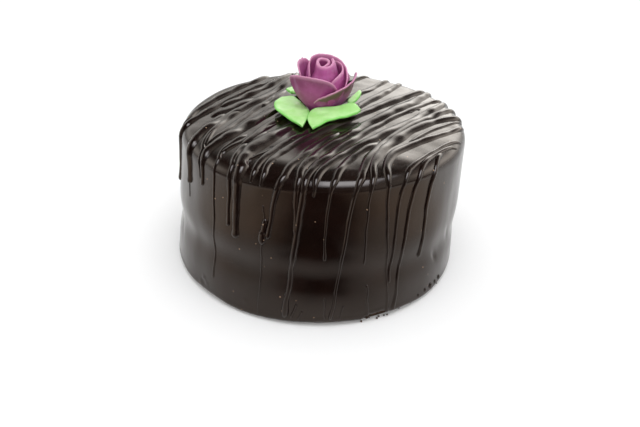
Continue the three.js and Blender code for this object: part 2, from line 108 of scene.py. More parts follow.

# %% [markdown]
# ## The side of the glazed body
# Poured glaze is never a true cylinder. The side draws in a little towards the top, a seam between the
# layers pulls it in to a waist a third of the way up, and a soft bulge lies above that. These are the
# sizes and rules that the solid has, in millimetres, with azimuths in degrees from the front. Long
# waves round the cake make every side a little different, with sizes and phases given here.

# %% Sizes and rule of the side
HEIGHT = 80
FOOT_RADIUS = 79.5
RIM_RADIUS = 76.4
RIM_ROUND = 8
SHOULDER = HEIGHT - RIM_ROUND
WAIST_HEIGHT, WAIST_DEPTH, WAIST_SPREAD = 26, 0.9, 8
WAIST_SWAY = 3  # the seam runs higher at the front than at the back
BULGE_HEIGHT, BULGE_SIZE, BULGE_SPREAD = 42, 0.4, 12


def lerp(low, high, share):
    return low + (high - low) * share


def hump(value, centre, spread):
    return math.exp(-(((value - centre) / spread) ** 2))


def side_radius(azimuth, z):
    a = math.radians(azimuth)
    slope = lerp(FOOT_RADIUS, RIM_RADIUS, z / SHOULDER)
    waist = WAIST_DEPTH * (1 + 0.35 * math.cos(a) - 0.3 * math.sin(a))
    waist *= hump(z, WAIST_HEIGHT + WAIST_SWAY * math.cos(a + 0.6), WAIST_SPREAD)
    bulge = BULGE_SIZE * (1 + 0.4 * math.cos(a + 1.2)) * hump(z, BULGE_HEIGHT, BULGE_SPREAD)
    uneven = 0.3 * math.sin(2 * a + 1.1) + 0.4 * math.sin(3 * a + 0.9 + 0.03 * z)
    return slope - waist + bulge + uneven


print("foot across:", 2 * FOOT_RADIUS, "mm, rim across:", 2 * RIM_RADIUS, "mm")
print("radius at the front of the waist:", round(side_radius(0, WAIST_HEIGHT), 1), "mm")

# %% [markdown]
# ## The rim
# The top doesn't meet the side at a sharp edge. It falls away gently over a band inside the rim, more
# at the front than at the back, and then rounds over. A bevel would give the same round everywhere, so
# the rim has a rule of its own at each azimuth: the slope where the band ends, and the size and centre
# of the round.

# %% Rules of the rim
RIM_FALL = 14  # width of the band that falls gently
RIM_SLOPE = 8  # degrees that the band slopes at its outer end, on average
RIM_SWAY = 0.5  # share by which that slope changes round the cake
SWAY_TURN = 20
QUARTER_TURN = math.pi / 2


def rim_drop(slope, share):
    return share**2 * RIM_FALL * math.tan(slope) / 2


def rim_at(azimuth):
    slope = math.radians(RIM_SLOPE * (1 + RIM_SWAY * math.cos(math.radians(azimuth + SWAY_TURN))))
    size = (RIM_ROUND - rim_drop(slope, 1)) / math.cos(slope)
    return slope, size, side_radius(azimuth, SHOULDER) - size


def rim_bend(azimuth):
    slope, size, centre = rim_at(azimuth)
    return centre + size * math.sin(slope)


def side_distance(azimuth):
    slope, size, _ = rim_at(azimuth)
    return rim_bend(azimuth) + size * (QUARTER_TURN - slope)


for place, azimuth in (("front", 0), ("back", 180)):
    print(f"slope before the round at the {place}:", round(math.degrees(rim_at(azimuth)[0]), 1), "degrees")

# %% [markdown]
# ## Any point of the glaze
# The drizzle has to lie on the glaze wherever it runs. So one function gives the place and the normal
# of the glaze at any distance from the middle of the top, measured over the rim and down the side, as
# if the glaze were rolled out flat. A fine ripple of a few tenths of a millimetre is part of it,
# because it bends the reflections as real glaze does. The top has also settled a little to one side.

# %% Rule of the glaze
LEAN = 3.4
BROAD_RIPPLE, BROAD_LENGTH = 0.30, 24
FINE_RIPPLE, FINE_WIDTH, FINE_LENGTH = 0.12, 8, 30


def clamp(value, low, high):
    return max(low, min(high, value))


def ripple(point):
    broad = BROAD_RIPPLE * noise.noise(point / BROAD_LENGTH)
    stretched = Vector((point.x / FINE_WIDTH, point.y / FINE_WIDTH, point.z / FINE_LENGTH))
    return broad + FINE_RIPPLE * noise.noise(stretched)


def cake_point(azimuth, radius, z):
    a = math.radians(azimuth)
    return Vector((radius * math.sin(a) + LEAN * z / HEIGHT, -radius * math.cos(a), z))


def glaze_at(azimuth, distance):
    a = math.radians(azimuth)
    slope, size, centre = rim_at(azimuth)
    past = distance - rim_bend(azimuth)
    share = clamp(past / RIM_FALL + 1, 0, 1)
    turn = math.atan(share * math.tan(slope)) if past < 0 else min(slope + past / size, QUARTER_TURN)
    normal = Vector((math.sin(turn) * math.sin(a), -math.sin(turn) * math.cos(a), math.cos(turn)))
    if past <= 0:
        point = cake_point(azimuth, distance, HEIGHT - rim_drop(slope, share))
    elif turn < QUARTER_TURN:
        point = cake_point(azimuth, centre + size * math.sin(turn), SHOULDER + size * math.cos(turn))
    else:
        z = SHOULDER - (distance - side_distance(azimuth))
        point = cake_point(azimuth, side_radius(azimuth, z), z)
    return point + normal * ripple(point), normal


print("from the middle over the rim to the side, at the front:", round(side_distance(0), 1), "mm")

# %% [markdown]
# ## The outline of the body
# A round body like this could be a cylinder with a bevelled edge, but its foot has a lip and a hollow
# under it, so its outline is drawn instead, from the middle of the underside to the middle of the top.
# The foot of the cake is bare crumb, set back under the glaze, which ends in a wavy lip that is chipped
# at the front right.

# %% Rule of the outline
CRUMB_INSET = 3.2
LIP_GAP = 1.8  # height of the lip above the ground, on average
LIP_ROUND = 1.6
LIP_TURNS = (30, 60, 90)
CHIP_START, CHIP_END, CHIP_EDGE, CHIP_RISE = 17, 29, 3, 2.2
BASE_STEPS, CRUMB_STEPS, SIDE_STEPS, RIM_STEPS, FALL_STEPS, FLAT_STEPS = 5, 3, 62, 12, 10, 20


def smoothstep(value, low, high):
    share = clamp((value - low) / (high - low), 0, 1)
    return share * share * (3 - 2 * share)


def lip_height(azimuth):
    a = math.radians(azimuth)
    wave = 0.5 * math.sin(5 * a + 0.4) + 0.35 * math.sin(9 * a + 2.0) + 0.25 * math.sin(14 * a)
    chip = smoothstep(azimuth, CHIP_START, CHIP_START + CHIP_EDGE)
    chip -= smoothstep(azimuth, CHIP_END - CHIP_EDGE, CHIP_END)
    crumbled = 0.5 * noise.noise(Vector((azimuth / 1.7, 0, 0))) * (0.3 + chip)
    return LIP_GAP * (1 + 0.5 * wave) + CHIP_RISE * chip + crumbled


def foot_outline(azimuth):
    lip = lip_height(azimuth)
    foot = side_radius(azimuth, 0)
    crumb = foot - CRUMB_INSET
    points = [(crumb * n / BASE_STEPS, 0) for n in range(BASE_STEPS + 1)]
    points += [(crumb, lip * n / CRUMB_STEPS) for n in range(1, CRUMB_STEPS + 1)]
    points += [(lerp(crumb, foot - LIP_ROUND / 2, n / 2), lip) for n in (1, 2)]
    for turn in map(math.radians, LIP_TURNS):
        out, up = 1 - math.sin(turn), 1 - math.cos(turn)
        points.append((foot - LIP_ROUND / 2 * out, lip + LIP_ROUND * up))
    return points


def outline(azimuth):
    points = foot_outline(azimuth)
    side_start = lip_height(azimuth) + LIP_ROUND
    for n in range(1, SIDE_STEPS + 1):
        z = lerp(side_start, SHOULDER, n / SIDE_STEPS)
        points.append((side_radius(azimuth, z), z))
    slope, size, centre = rim_at(azimuth)
    for n in range(1, RIM_STEPS + 1):
        turn = lerp(QUARTER_TURN, slope, n / RIM_STEPS)
        points.append((centre + size * math.sin(turn), SHOULDER + size * math.cos(turn)))
    flat = rim_bend(azimuth) - RIM_FALL
    for n in range(1, FALL_STEPS + 1):
        share = 1 - n / FALL_STEPS
        points.append((flat + RIM_FALL * share, HEIGHT - rim_drop(slope, share)))
    points += [(flat * (1 - n / FLAT_STEPS), HEIGHT) for n in range(1, FLAT_STEPS + 1)]
    return points


front_outline = outline(0)
print("points along the outline:", len(front_outline))

# %% [markdown]
# ## Draw and spin
# By hand, one corner would be extruded from point to point along the outline, and the line spun about
# the upright axis. That is what happens here. A plane is merged to its middle to get the first corner.
# Spin leaves a seam and a pole at each end, so the doubles are merged and the faces turned outwards.

# %% Extrude the outline and spin it
COLUMNS = 384


def in_metres(radius, z):
    return Vector((0, -radius, z)) * MM


clear_selection()
bpy.ops.mesh.primitive_plane_add(size=MM)
body = bpy.context.object
body.name = "glazed_body"
bpy.ops.object.mode_set(mode="EDIT")
bpy.ops.mesh.select_all(action="SELECT")
bpy.ops.mesh.merge(type="CENTER")
for before, after in zip(front_outline, front_outline[1:]):
    step = in_metres(*after) - in_metres(*before)
    bpy.ops.mesh.extrude_region_move(TRANSFORM_OT_translate={"value": step})
bpy.ops.mesh.select_all(action="SELECT")
bpy.ops.mesh.spin(steps=COLUMNS, angle=2 * math.pi, center=(0, 0, 0), axis=(0, 0, 1))
bpy.ops.object.mode_set(mode="OBJECT")
merge_and_face_outwards(body)
print("corners of the spun body:", len(body.data.vertices))

# %% [markdown]
# ## Unevenness, dents and bubbles
# Each corner of the spun body knows its level on the outline from its radius and height. It goes to the
# same level of the outline that holds at its own azimuth. A few marks are pressed in or raised:
# slanting dents on the right and the left, where bubbles broke, and small bubbles near the foot on the
# left. Sculpting by hand would do as well, but a rule gives the same cake on every run.

# %% Move the corners to the uneven form
# azimuth, height, half width, half length, depth
MARKS = [
    (52, 22, 1.5, 3.4, -0.7),
    (-48, 9.5, 0.9, 0.9, 0.6),
    (-46, 7.0, 0.8, 0.8, 0.5),
    (-50, 5.5, 1.0, 0.8, 0.6),
    (-26.5, 8.0, 0.7, 0.9, 0.5),
    (62, 30, 1.8, 5, -0.35),
    (-73, 24, 3, 6, -0.3),
]
DENT_SLANT = 0.5  # dents slant, bubbles don't
RIPPLE_START, RIPPLE_FULL = 1, 8  # heights between which the ripple sets in


def marks_at(azimuth, z):
    height = 0
    for mark_azimuth, mark_z, wide, long, depth in MARKS:
        across = (azimuth - mark_azimuth) * math.pi / 180 * FOOT_RADIUS
        up = z - mark_z
        across += DENT_SLANT * up * (depth < 0)
        height += depth * math.exp(-((across / wide) ** 2) - (up / long) ** 2)
    return height


def nearest_level(radius, z):
    gaps = [(radius - r) ** 2 + (z - h) ** 2 for r, h in front_outline]
    return gaps.index(min(gaps))


def outward_normal(azimuth, height):
    a = math.radians(azimuth)
    turn = math.radians(90 * smoothstep(height, SHOULDER, HEIGHT))
    return Vector((math.sin(a), -math.cos(a), 0)) * math.cos(turn) + Vector((0, 0, 1)) * math.sin(turn)


def move_to_uneven_form():
    outlines = {}
    levels = {}
    for corner in body.data.vertices:
        x, y, z = corner.co / MM
        azimuth = round(math.degrees(math.atan2(x, -y)), 3)
        place = (round(math.hypot(x, y), 3), round(z, 3))
        if azimuth not in outlines:
            outlines[azimuth] = outline(azimuth)
        if place not in levels:
            levels[place] = nearest_level(*place)
        radius, height = outlines[azimuth][levels[place]]
        point = cake_point(azimuth, radius, height)
        raised = ripple(point) * smoothstep(height, RIPPLE_START, RIPPLE_FULL)
        raised += marks_at(azimuth, height) * (height < SHOULDER)
        corner.co = (point + outward_normal(azimuth, height) * raised) * MM


move_to_uneven_form()
shade_and_report(body)

# %% [markdown]
# ## Where the strands of the drizzle run
# The drizzle was swung back and forth over the cake. Each strand crosses the top along a curve between
# two places on the rim, and bends there to run straight down the side, where it ends in a bead. Some
# melted into the glaze on the top before they reached the rim. Where a strand shows in the photograph
# it has that course. The runs on the back come from a seeded row of numbers, so that each run of the
# lesson gives the same cake.

# %% Courses of the strands
# azimuths on the rim at the front and the back with the headings there, radii towards both ends,
# shares where it starts and stops, and the run down the front: azimuth, lower end, radius and drift
STRANDS = [
    ((-85, -150, 81, 62), (1.6, 1.8), (0, 1), (-83, 75, 1.3, 0)),
    ((-67, -165.7, 64, 64), (1.6, 1.6), (0.1, 0.32), None),
    ((-81.5, -165, 60, 44), (1.9, 1.4), (0, 1), (-79, 47, 1.8, 0)),
    ((-75, -163.5, 77, 71), (1.7, 1.7), (0.33, 1), None),
    ((-70, -172, 82, 77), (2.2, 2.2), (0.22, 0.52), None),
    ((-63.3, -167, 76, 85), (2.4, 1.7), (0, 1), (-60.5, 57, 2.3, 0)),
    ((-54.5, -177.5, 102, 47), (1.3, 1.3), (0, 0.5), (-51.7, 65, 1.5, 1)),
    ((-53, -178.5, 102, 27), (1.2, 1.2), (0.04, 0.36), None),
    ((-54, -172.8, 68, 67), (1.2, 1.2), (0.05, 0.62), None),
    ((-52, -186.8, 61, 61), (1.7, 1.7), (0.15, 0.46), None),
    ((-50.9, -181.6, 64, 64), (1.1, 1.1), (0.38, 0.54), None),
    ((-54.8, -174.5, 65, 65), (1.2, 1.2), (0.46, 0.68), None),
    ((-51.7, -192, 60, 50), (2.3, 1.8), (0, 1), (-48.7, 62, 1.6, -1)),
    ((-43.4, -212, 100, 75), (1, 1), (0, 0.25), (-42.2, 13, 0.9, 0)),
    ((-44.8, -201.5, 57, 57), (1.2, 1.2), (0.04, 0.4), None),
    ((-38.9, -192.5, 64, 64), (1, 1), (0.17, 0.3), None),
    ((-37, -202, 92, 41), (1.5, 1.5), (0.17, 1), None),
    ((-36, -210, 100, 60), (1.2, 1.2), (0, 0.2), (-34.7, 48, 1.4, 0)),
    ((-31.8, -213, 100, 62), (2.9, 1.5), (0, 1), (-31.2, 43, 2.7, 0)),
    ((-32.9, -231.4, 48, 48), (1.1, 1.1), (0.05, 0.22), None),
    ((-26, -220, 86, 70), (1.5, 1.7), (0, 1), (-25.8, 74, 1.3, 0)),
    ((-22, -234.4, 92, 42), (1.4, 2), (0, 1), (-21.8, 73, 1.2, 0)),
    ((-14.3, -238.5, 80, 28), (1.7, 1.6), (0, 0.42), (-15.6, 47, 1.8, -3)),
    ((-8.6, -238, 95, 63), (1.8, 2.4), (0, 1), (-9.8, 52, 1.7, 1.5)),
    ((-6.3, -247, 74, 35), (1.8, 1.4), (0, 1), (-6.5, 4, 1.9, -4.5)),
    ((-2.8, -251, 78, 65), (1.7, 2), (0, 1), (-3.3, 71, 1.1, 0)),
    ((4.3, -256, 83, 57), (1.5, 1.5), (0, 0.42), (1.8, 38, 0.9, 0)),
    ((13.8, -259, 88, 39), (1.7, 1.8), (0, 1), (10.8, 4, 1.1, -5)),
    ((18.4, -268, 95, 25), (1.6, 2), (0, 1), (16, 34, 1, 0)),
    ((24, -279, 102, 50), (1.7, 1.8), (0, 1), (22.4, 3, 1.1, 5)),
    ((24, -272, 85, 41), (1, 1), (0.45, 1), None),
    ((33.5, -293, 56, 42), (1.4, 1.2), (0, 1), (28.2, 20, 1.2, -1)),
    ((41, -299, 62, 40), (1.3, 1.1), (0, 1), (34, 3, 1.3, -4)),
    ((50, -296, 62, 52), (1.3, 1.2), (0, 0.3), (42.2, 28, 1.5, -1)),
    ((-58, -175.5, 66, 60), (1.5, 1.5), (0.74, 1), None),
    ((-46, -182.5, 60, 40), (1.6, 1.6), (0.82, 1), None),
]
front_runs = [run for *_, run in STRANDS if run]
print("strands:", len(STRANDS), "of which run down the front:", len(front_runs))

# %% [markdown]
# ## Curves and seeded draws
# A strand's course over the top is a Bezier curve. Its ends are the two places on the rim, and its
# handles point along the headings there. At the far rim a strand slides a little sideways before it
# hangs. Where its far end shows it stops on the rim, and out of sight it hangs down a drawn length.

# %% Curves and far ends
CHORD_REACH = 72.6  # distance from the middle where the courses begin and end
MOST_HANDLE = 26
BEND_LENGTH = 5  # distance over which a strand on the rim turns to run straight down
MOST_SLANT = 1  # radians off straight down at the rim
IN_SIGHT = 100  # azimuth up to which the far ends show
RIM_ENDS, HIGH_ENDS, LOW_ENDS = (74, 77), (58, 70), (18, 52)
HIGH_SHARE = 0.55
FAR_RUN_RADIUS = 1.4
MOST_DRIFT = 4


class SeededDraw:
    def __init__(self, seed):
        self.state = seed

    def __call__(self, low=0, high=1):
        self.state = (self.state * 1664525 + 1013904223) % 2**32
        return lerp(low, high, self.state / 2**32)


def heading_vector(degrees, length):
    return Vector((math.cos(math.radians(degrees)), math.sin(math.radians(degrees)))) * length


def course_of(near, far, near_heading, far_heading):
    start, end = (heading_vector(azimuth - 90, CHORD_REACH) for azimuth in (near, far))
    handle = min((end - start).length / 3, MOST_HANDLE)
    leaving = heading_vector(near_heading, handle)
    arriving = heading_vector(far_heading, handle)
    return [start, start + leaving, end - arriving, end]


def bezier(points, share):
    a, b, c, d = (Vector(point) for point in points)
    rest = 1 - share
    return a * rest**3 + b * (3 * rest * rest * share) + c * (3 * rest * share * share) + d * share**3


def far_slide(azimuth, heading):
    turn = math.radians(heading - azimuth + 90)
    slant = clamp(math.atan2(math.sin(turn), math.cos(turn)), -MOST_SLANT, MOST_SLANT)
    return math.degrees(BEND_LENGTH * math.tan(slant) / RIM_RADIUS)


def far_run(azimuth, draw):
    if math.cos(math.radians(azimuth)) > math.cos(math.radians(IN_SIGHT)):
        return draw(*RIM_ENDS), FAR_RUN_RADIUS, 0
    ends = HIGH_ENDS if draw() < HIGH_SHARE else LOW_ENDS
    return draw(*ends), FAR_RUN_RADIUS, draw(-MOST_DRIFT, MOST_DRIFT)


first_course = course_of(*STRANDS[0][0])
print("middle of the first course:", [round(c, 1) for c in bezier(first_course, 0.5)])

# %% [markdown]
# ## A run down the side
# A path is a row of stops. Each stop has an azimuth and a distance from the middle of the top, measured
# over the glaze, and a width and a height for the strand there. A run down the side thins as it falls
# and swells to a bead. It wanders a little, as chocolate does that sets while it runs. At its end a few
# close stops round it off.

# %% Stops of a run
RUN_STEP = 1.3
LEAST_STEPS = 3
END_STOPS = 6
RUN_THINNING, BEAD_START, BEAD_SWELL, BEAD_CAP = 0.3, 0.8, 1.35, 1.3
RUN_WANDER, WANDER_LENGTH, WANDER_START, WANDER_FULL = 0.4, 9, 4, 16
RUN_UNEVEN, UNEVEN_LENGTH = 0.14, 5
RUN_RISE = 1.1  # height of a run, as a share of a round strand's
LEAST_END = 0.02  # share of the width that is left at the very end


def noise_along(mark, length, seed, row):
    return noise.noise(Vector((mark / length, seed, row)))


def run_swell(share):
    thinning = 1 - RUN_THINNING * smoothstep(share, 0, BEAD_START)
    return thinning * lerp(1, BEAD_SWELL, smoothstep(share, BEAD_START, 1))


def rounded_end(gap, cap):
    share = clamp(gap / cap, 0, 1)
    return max(math.sqrt(1 - (1 - share) ** 2), LEAST_END)


def run_marks(length, cap):
    straight = length - cap
    steps = max(LEAST_STEPS, round(straight / RUN_STEP))
    marks = [straight * (n + 1) / steps for n in range(steps)]
    turns = [QUARTER_TURN * n / END_STOPS for n in range(1, END_STOPS + 1)]
    return marks + [straight + cap * math.sin(turn) for turn in turns]


def hanging_run(start, slide, run):
    azimuth, distance, start_radius, start_rise = start
    end_height, radius, drift = run
    over_rim = side_distance(azimuth) - distance
    length = over_rim + SHOULDER - end_height
    cap = min(BEAD_CAP * radius, length / 2)
    stops = []
    for past in run_marks(length, cap):
        slid = slide * (1 - math.exp(-past / BEND_LENGTH))
        wander = RUN_WANDER * noise_along(past, WANDER_LENGTH, azimuth, 2)
        wander *= smoothstep(past, WANDER_START, WANDER_FULL)
        turned = smoothstep(past, 0, over_rim)
        width = lerp(start_radius, radius, turned) * run_swell(past / length)
        width *= 1 + RUN_UNEVEN * noise_along(past, UNEVEN_LENGTH, azimuth, 8)
        place = azimuth + slid + drift * past / length + wander
        rise = lerp(start_rise, RUN_RISE, turned)
        stops.append((place, distance + past, width * rounded_end(length - past, cap), rise))
    return stops


print("swell of the bead:", round(run_swell(1), 2), "of the width at the rim")

# %% [markdown]
# ## The way over the top
# On the top a strand has more time to spread: from the rim inwards it gets wider and flatter bit by
# bit. It also sinks a little into the soft glaze in places, so its width and height come and go. The
# waves fade towards the rim, where the strand has to meet its run. Where a strand ends on the top it
# tapers off.

# %% Stops on the top
TOP_STEP = 1.8
TOP_LEAST_STEPS = 4
END_SPACING = 0.15
RIM_SPREAD, TOP_SPREAD = 1.15, 1.75
RIM_FLAT, TOP_FLAT = 0.8, 0.52
SPREAD_REACH = 24
SWELL_START, SWELL_END = 0.25, 0.5
WOBBLE, WOBBLE_LENGTH = 0.8, 16
PROUD, SUNK, SINK_LENGTH, SINK_RANGE = 1.15, 0.65, 15, (-0.1, 0.4)
TOP_UNEVEN, TOP_UNEVEN_LENGTH = 0.22, 10
END_TAPER = 3  # length of a tapered end, in radii of the strand
FADE = 5
LOOK_AHEAD = 0.01
LENGTH_STEPS = 24


def top_marks(length, begin, stop):
    first, last = length * begin, length * stop
    steps = max(TOP_LEAST_STEPS, round((last - first) / TOP_STEP))
    marks = [lerp(first, last, n / steps) for n in range(steps + 1)]
    close = [END_SPACING * n * n for n in range(1, END_STOPS)]
    if begin > 0:
        marks += [first + gap for gap in close]
    if stop < 1:
        marks += [last - gap for gap in close]
    return sorted(marks)


def curve_length(curve):
    points = [bezier(curve, n / LENGTH_STEPS) for n in range(LENGTH_STEPS + 1)]
    return sum((after - before).length for before, after in zip(points, points[1:]))


def tapered(width, rise, gap, radius):
    ending = rounded_end(gap, END_TAPER * radius)
    return width * ending, rise * ending


def top_stops(number, course, radii, extent):
    begin, stop = extent
    curve = course_of(*course)
    length = curve_length(curve)
    stops = []
    for mark in top_marks(length, begin, stop):
        share = mark / length
        away = min(1, FADE * share, FADE * (1 - share))
        ahead = bezier(curve, min(share + LOOK_AHEAD, 1)) - bezier(curve, max(share - LOOK_AHEAD, 0))
        wobble = WOBBLE * noise_along(mark, WOBBLE_LENGTH, number * 3.1, 0) * away
        plan = bezier(curve, share) + Vector((-ahead.y, ahead.x)).normalized() * wobble
        inside = smoothstep(CHORD_REACH - plan.length, 0, SPREAD_REACH)
        radius = lerp(RIM_SPREAD, TOP_SPREAD, inside)
        radius *= lerp(*radii, smoothstep(share, SWELL_START, SWELL_END))
        sunk = smoothstep(noise_along(mark, SINK_LENGTH, number * 7.3, 1), *SINK_RANGE) * away
        rise = lerp(RIM_FLAT, TOP_FLAT, inside) * lerp(PROUD, SUNK, sunk)
        width = radius * (1 + TOP_UNEVEN * noise_along(mark, TOP_UNEVEN_LENGTH, number * 5.7, 3) * away)
        if begin > 0:
            width, rise = tapered(width, rise, mark - length * begin, radius)
        if stop < 1:
            width, rise = tapered(width, rise, length * stop - mark, radius)
        stops.append((math.degrees(math.atan2(plan.x, -plan.y)), plan.length, width, rise))
    return stops


first_stops = top_stops(0, *STRANDS[0][:3])
print("stops of the first strand on the top:", len(first_stops))

# %% [markdown]
# ## Whole strands
# A whole strand is its run down the front, its way over the top and its run at the far end, one after
# the other. The run at the front is made from the rim down, so it is turned round to lead up to the
# rim.

# %% Paths of the strands
RUN_SEED = 20


def strand_stops(number, course, radii, extent, run, draw):
    stops = top_stops(number, course, radii, extent)
    near, far, _, far_heading = course
    before, after = [], []
    if run:
        before = hanging_run(stops[0], run[0] - near, run[1:])[::-1]
    if extent[1] == 1:
        after = hanging_run(stops[-1], far_slide(far, far_heading), far_run(far, draw))
    return before + stops + after


run_draw = SeededDraw(RUN_SEED)
paths = [strand_stops(n, *strand, run_draw) for n, strand in enumerate(STRANDS)]
print("stops along the strands:", sum(len(path) for path in paths))

# %% [markdown]
# ## Threads and drops
# Besides the strands, thin threads and single drops of chocolate cling to the side. They take the same
# kind of path, only straight down the side, rounded at both ends.

# %% Threads and drops on the side
# azimuth, upper height, lower height, radius and drift
THREADS = [
    (-20.3, 45, 2.5, 0.6, -0.5),
    (-20.8, 64, 56, 0.5, 1.2),
    (18.2, 22, 3.5, 0.75, 1.2),
    (3, 17, 4, 0.55, 0.5),
    (-6.5, 13, 4, 0.6, -2),
    (-4.5, 9, 3.5, 0.5, -1.5),
    (-60.5, 57, 50, 0.35, 0.8),
    (10, 12, 4, 0.45, -1),
]
DROPS = [
    (-19.6, 57.5, 47, 1.5, -0.8),
    (-20.3, 52, 43.5, 2.1, 0),
    (47, 6, 3.2, 0.9, 0.3),
    (51, 6.5, 3, 1.0, -0.3),
    (54.5, 5.8, 3.1, 0.8, 0.2),
    (58, 6.2, 3.3, 0.9, 0),
    (43, 5.2, 3, 0.7, 0),
]
THREAD_CAP = 1.4
THREAD_LEAST_STEPS = 4
THREAD_RISE = 1.15
THREAD_WANDER, THREAD_WAVE, WANDER_FREE = 0.35, 6, 10


def thread_stops(azimuth, top, bottom, radius, drift):
    shoulder_distance = side_distance(azimuth)
    length = top - bottom
    steps = max(THREAD_LEAST_STEPS, round(length / RUN_STEP))
    cap = min(THREAD_CAP * radius, length / 2)
    stops = []
    for n in range(steps + 2 * END_STOPS + 1):
        if n < END_STOPS:
            turn = QUARTER_TURN * (1 - n / END_STOPS)
            past = cap * (1 - math.sin(turn))
        elif n > steps + END_STOPS:
            turn = QUARTER_TURN * (n - steps - END_STOPS) / END_STOPS
            past = length - cap * (1 - math.sin(turn))
        else:
            turn = 0
            past = lerp(cap, length - cap, (n - END_STOPS) / steps)
        wander = THREAD_WANDER * noise_along(past, THREAD_WAVE, azimuth, 0) * min(1, length / WANDER_FREE)
        distance = shoulder_distance + SHOULDER - top + past
        width = radius * max(math.cos(turn), LEAST_END)
        stops.append((azimuth + drift * past / length + wander, distance, width, THREAD_RISE))
    return stops


paths += [thread_stops(*thread) for thread in THREADS + DROPS]
print("threads and drops:", len(THREADS) + len(DROPS))

# %% [markdown]
# ## Broken bits on the top
# Where the drizzle thinned out it fell as short broken bits, in a patch at the front left and another
# on the right. Placing each by hand would be slow and would show no more, so seeded draws give each bit
# its place, heading, length and radius within its patch.

# %% Bits
# left, right, front and back edge of a patch, and the number of bits in it
BIT_PATCHES = [(-38, -20, -58, -36, 26), (42, 54, 3, 14, 9)]
BIT_HEADINGS, BIT_LENGTHS, BIT_RADII = (20, 80), (1.6, 5), (0.45, 0.95)
BIT_STEPS = 10
BIT_RISE = 0.9
BIT_SEED = 11


def bit_stops(x, y, heading, length, radius):
    stops = []
    for n in range(BIT_STEPS + 1):
        along = length * (n / BIT_STEPS - 0.5)
        plan = Vector((x, y)) + heading_vector(heading, along)
        width = radius * rounded_end(length / 2 - abs(along), radius)
        stops.append((math.degrees(math.atan2(plan.x, -plan.y)), plan.length, width, BIT_RISE))
    return stops


bit_draw = SeededDraw(BIT_SEED)
bits = []
for left, right, front, back, count in BIT_PATCHES:
    for _ in range(count):
        place = bit_draw(left, right), bit_draw(front, back)
        size = bit_draw(*BIT_HEADINGS), bit_draw(*BIT_LENGTHS), bit_draw(*BIT_RADII)
        bits.append(bit_stops(*place, *size))
paths += bits
print("bits:", len(bits))

# %% [markdown]
# ## The section of a strand
# A bevelled curve would give a round cord that only touches the glaze. Melted chocolate sits on it
# instead with a foot that runs out smoothly, so the section of a strand is a round back with a small
# fillet on both sides, and a keel out of sight under the glaze. Every point of the section is set on
# the glaze beneath it, also where a strand crosses the rim at a slant. Under the rose the strands
# flatten out, to leave it room.

# %% Rings along a path
# share of the radius to the side, and share of the radius above the glaze
BACK_SIDES = (-0.9, -0.74, -0.52, -0.27, 0, 0.27, 0.52, 0.74, 0.9)
BACK_SUNK = 0.28
ROUND_BACK = [(side, math.sqrt(1 - side * side) - BACK_SUNK) for side in BACK_SIDES]
SECTION = [(-1.1, -0.06), (-0.99, 0.03)] + ROUND_BACK + [(0.99, 0.03), (1.1, -0.06)]
KEEL = [(0.6, -0.7), (-0.6, -0.7)]
ROSE_PLACE = Vector((2, 8, HEIGHT + 0.3))
ROSE_CLEARING, CLEARING_EDGE = 9, 4


def beside(azimuth, distance, sideways, outward):
    a = math.radians(azimuth)
    if distance < rim_bend(azimuth):
        x = distance * math.sin(a) + sideways * math.cos(a) + outward * math.sin(a)
        y = -distance * math.cos(a) + sideways * math.sin(a) - outward * math.cos(a)
        return math.degrees(math.atan2(x, -y)), math.hypot(x, y)
    around = min(distance, RIM_RADIUS)
    return azimuth + math.degrees(sideways / around), distance + outward


def strand_rings(path):
    points = [glaze_at(azimuth, distance) for azimuth, distance, _, _ in path]
    rings = []
    for n, (azimuth, distance, radius, height) in enumerate(path):
        point, normal = points[n]
        forward = points[min(n + 1, len(path) - 1)][0] - points[max(n - 1, 0)][0]
        across = normal.cross(forward).normalized()
        a = math.radians(azimuth)
        sideways = Vector((math.cos(a), math.sin(a), 0))
        outward = sideways.cross(normal)
        plan_gap = math.hypot(point.x - ROSE_PLACE.x, point.y - ROSE_PLACE.y)
        height *= smoothstep(plan_gap, ROSE_CLEARING, ROSE_CLEARING + CLEARING_EDGE)
        ring = []
        for side, rise in SECTION + KEEL:
            lifted = rise * height if rise > 0 else rise
            shift = side * radius
            spot = beside(azimuth, distance, shift * across.dot(sideways), shift * across.dot(outward))
            base, base_normal = glaze_at(*spot)
            ring.append(base + base_normal * (lifted * radius))
        rings.append(ring)
    return rings


print("points round a strand:", len(SECTION + KEEL))

# %% [markdown]
# ## From a path to a strand
# A grid primitive is the start of most pieces from here on. It is added one unit wide, so a corner's
# place in it gives two shares, one across and one along, and the piece's own rule says where that
# corner belongs. For a strand the grid is wrapped round into a closed tube. All the tubes are joined to
# one piece.

# %% Wrap a grid round each path
FINE_GAP = 0.002 * MM


def add_grid(name, across, along):
    clear_selection()
    bpy.ops.mesh.primitive_grid_add(x_subdivisions=across, y_subdivisions=along, size=1)
    bpy.context.object.name = name
    return bpy.context.object


def corner_shares(piece):
    return [(corner.co.x + 0.5, corner.co.y + 0.5) for corner in piece.data.vertices]


def place_corners(piece, rule):
    for corner, shares in zip(piece.data.vertices, corner_shares(piece)):
        corner.co = Vector(rule(*shares)) * MM


def join_pieces(pieces, name):
    make_active(pieces[0])
    for piece in pieces:
        piece.select_set(True)
    bpy.ops.object.join()
    bpy.context.object.name = name
    return bpy.context.object


def strand_piece(number, path):
    rings = strand_rings(path)
    sides = len(rings[0])
    rows = len(rings) - 1
    piece = add_grid(f"strand_{number}", sides, rows)
    place_corners(piece, lambda u, v: rings[round(v * rows)][round(u * sides) % sides])
    return piece


drizzle = join_pieces([strand_piece(n, path) for n, path in enumerate(paths)], "drizzle")
merge_and_face_outwards(drizzle, gap=FINE_GAP)
shade_and_report(drizzle)

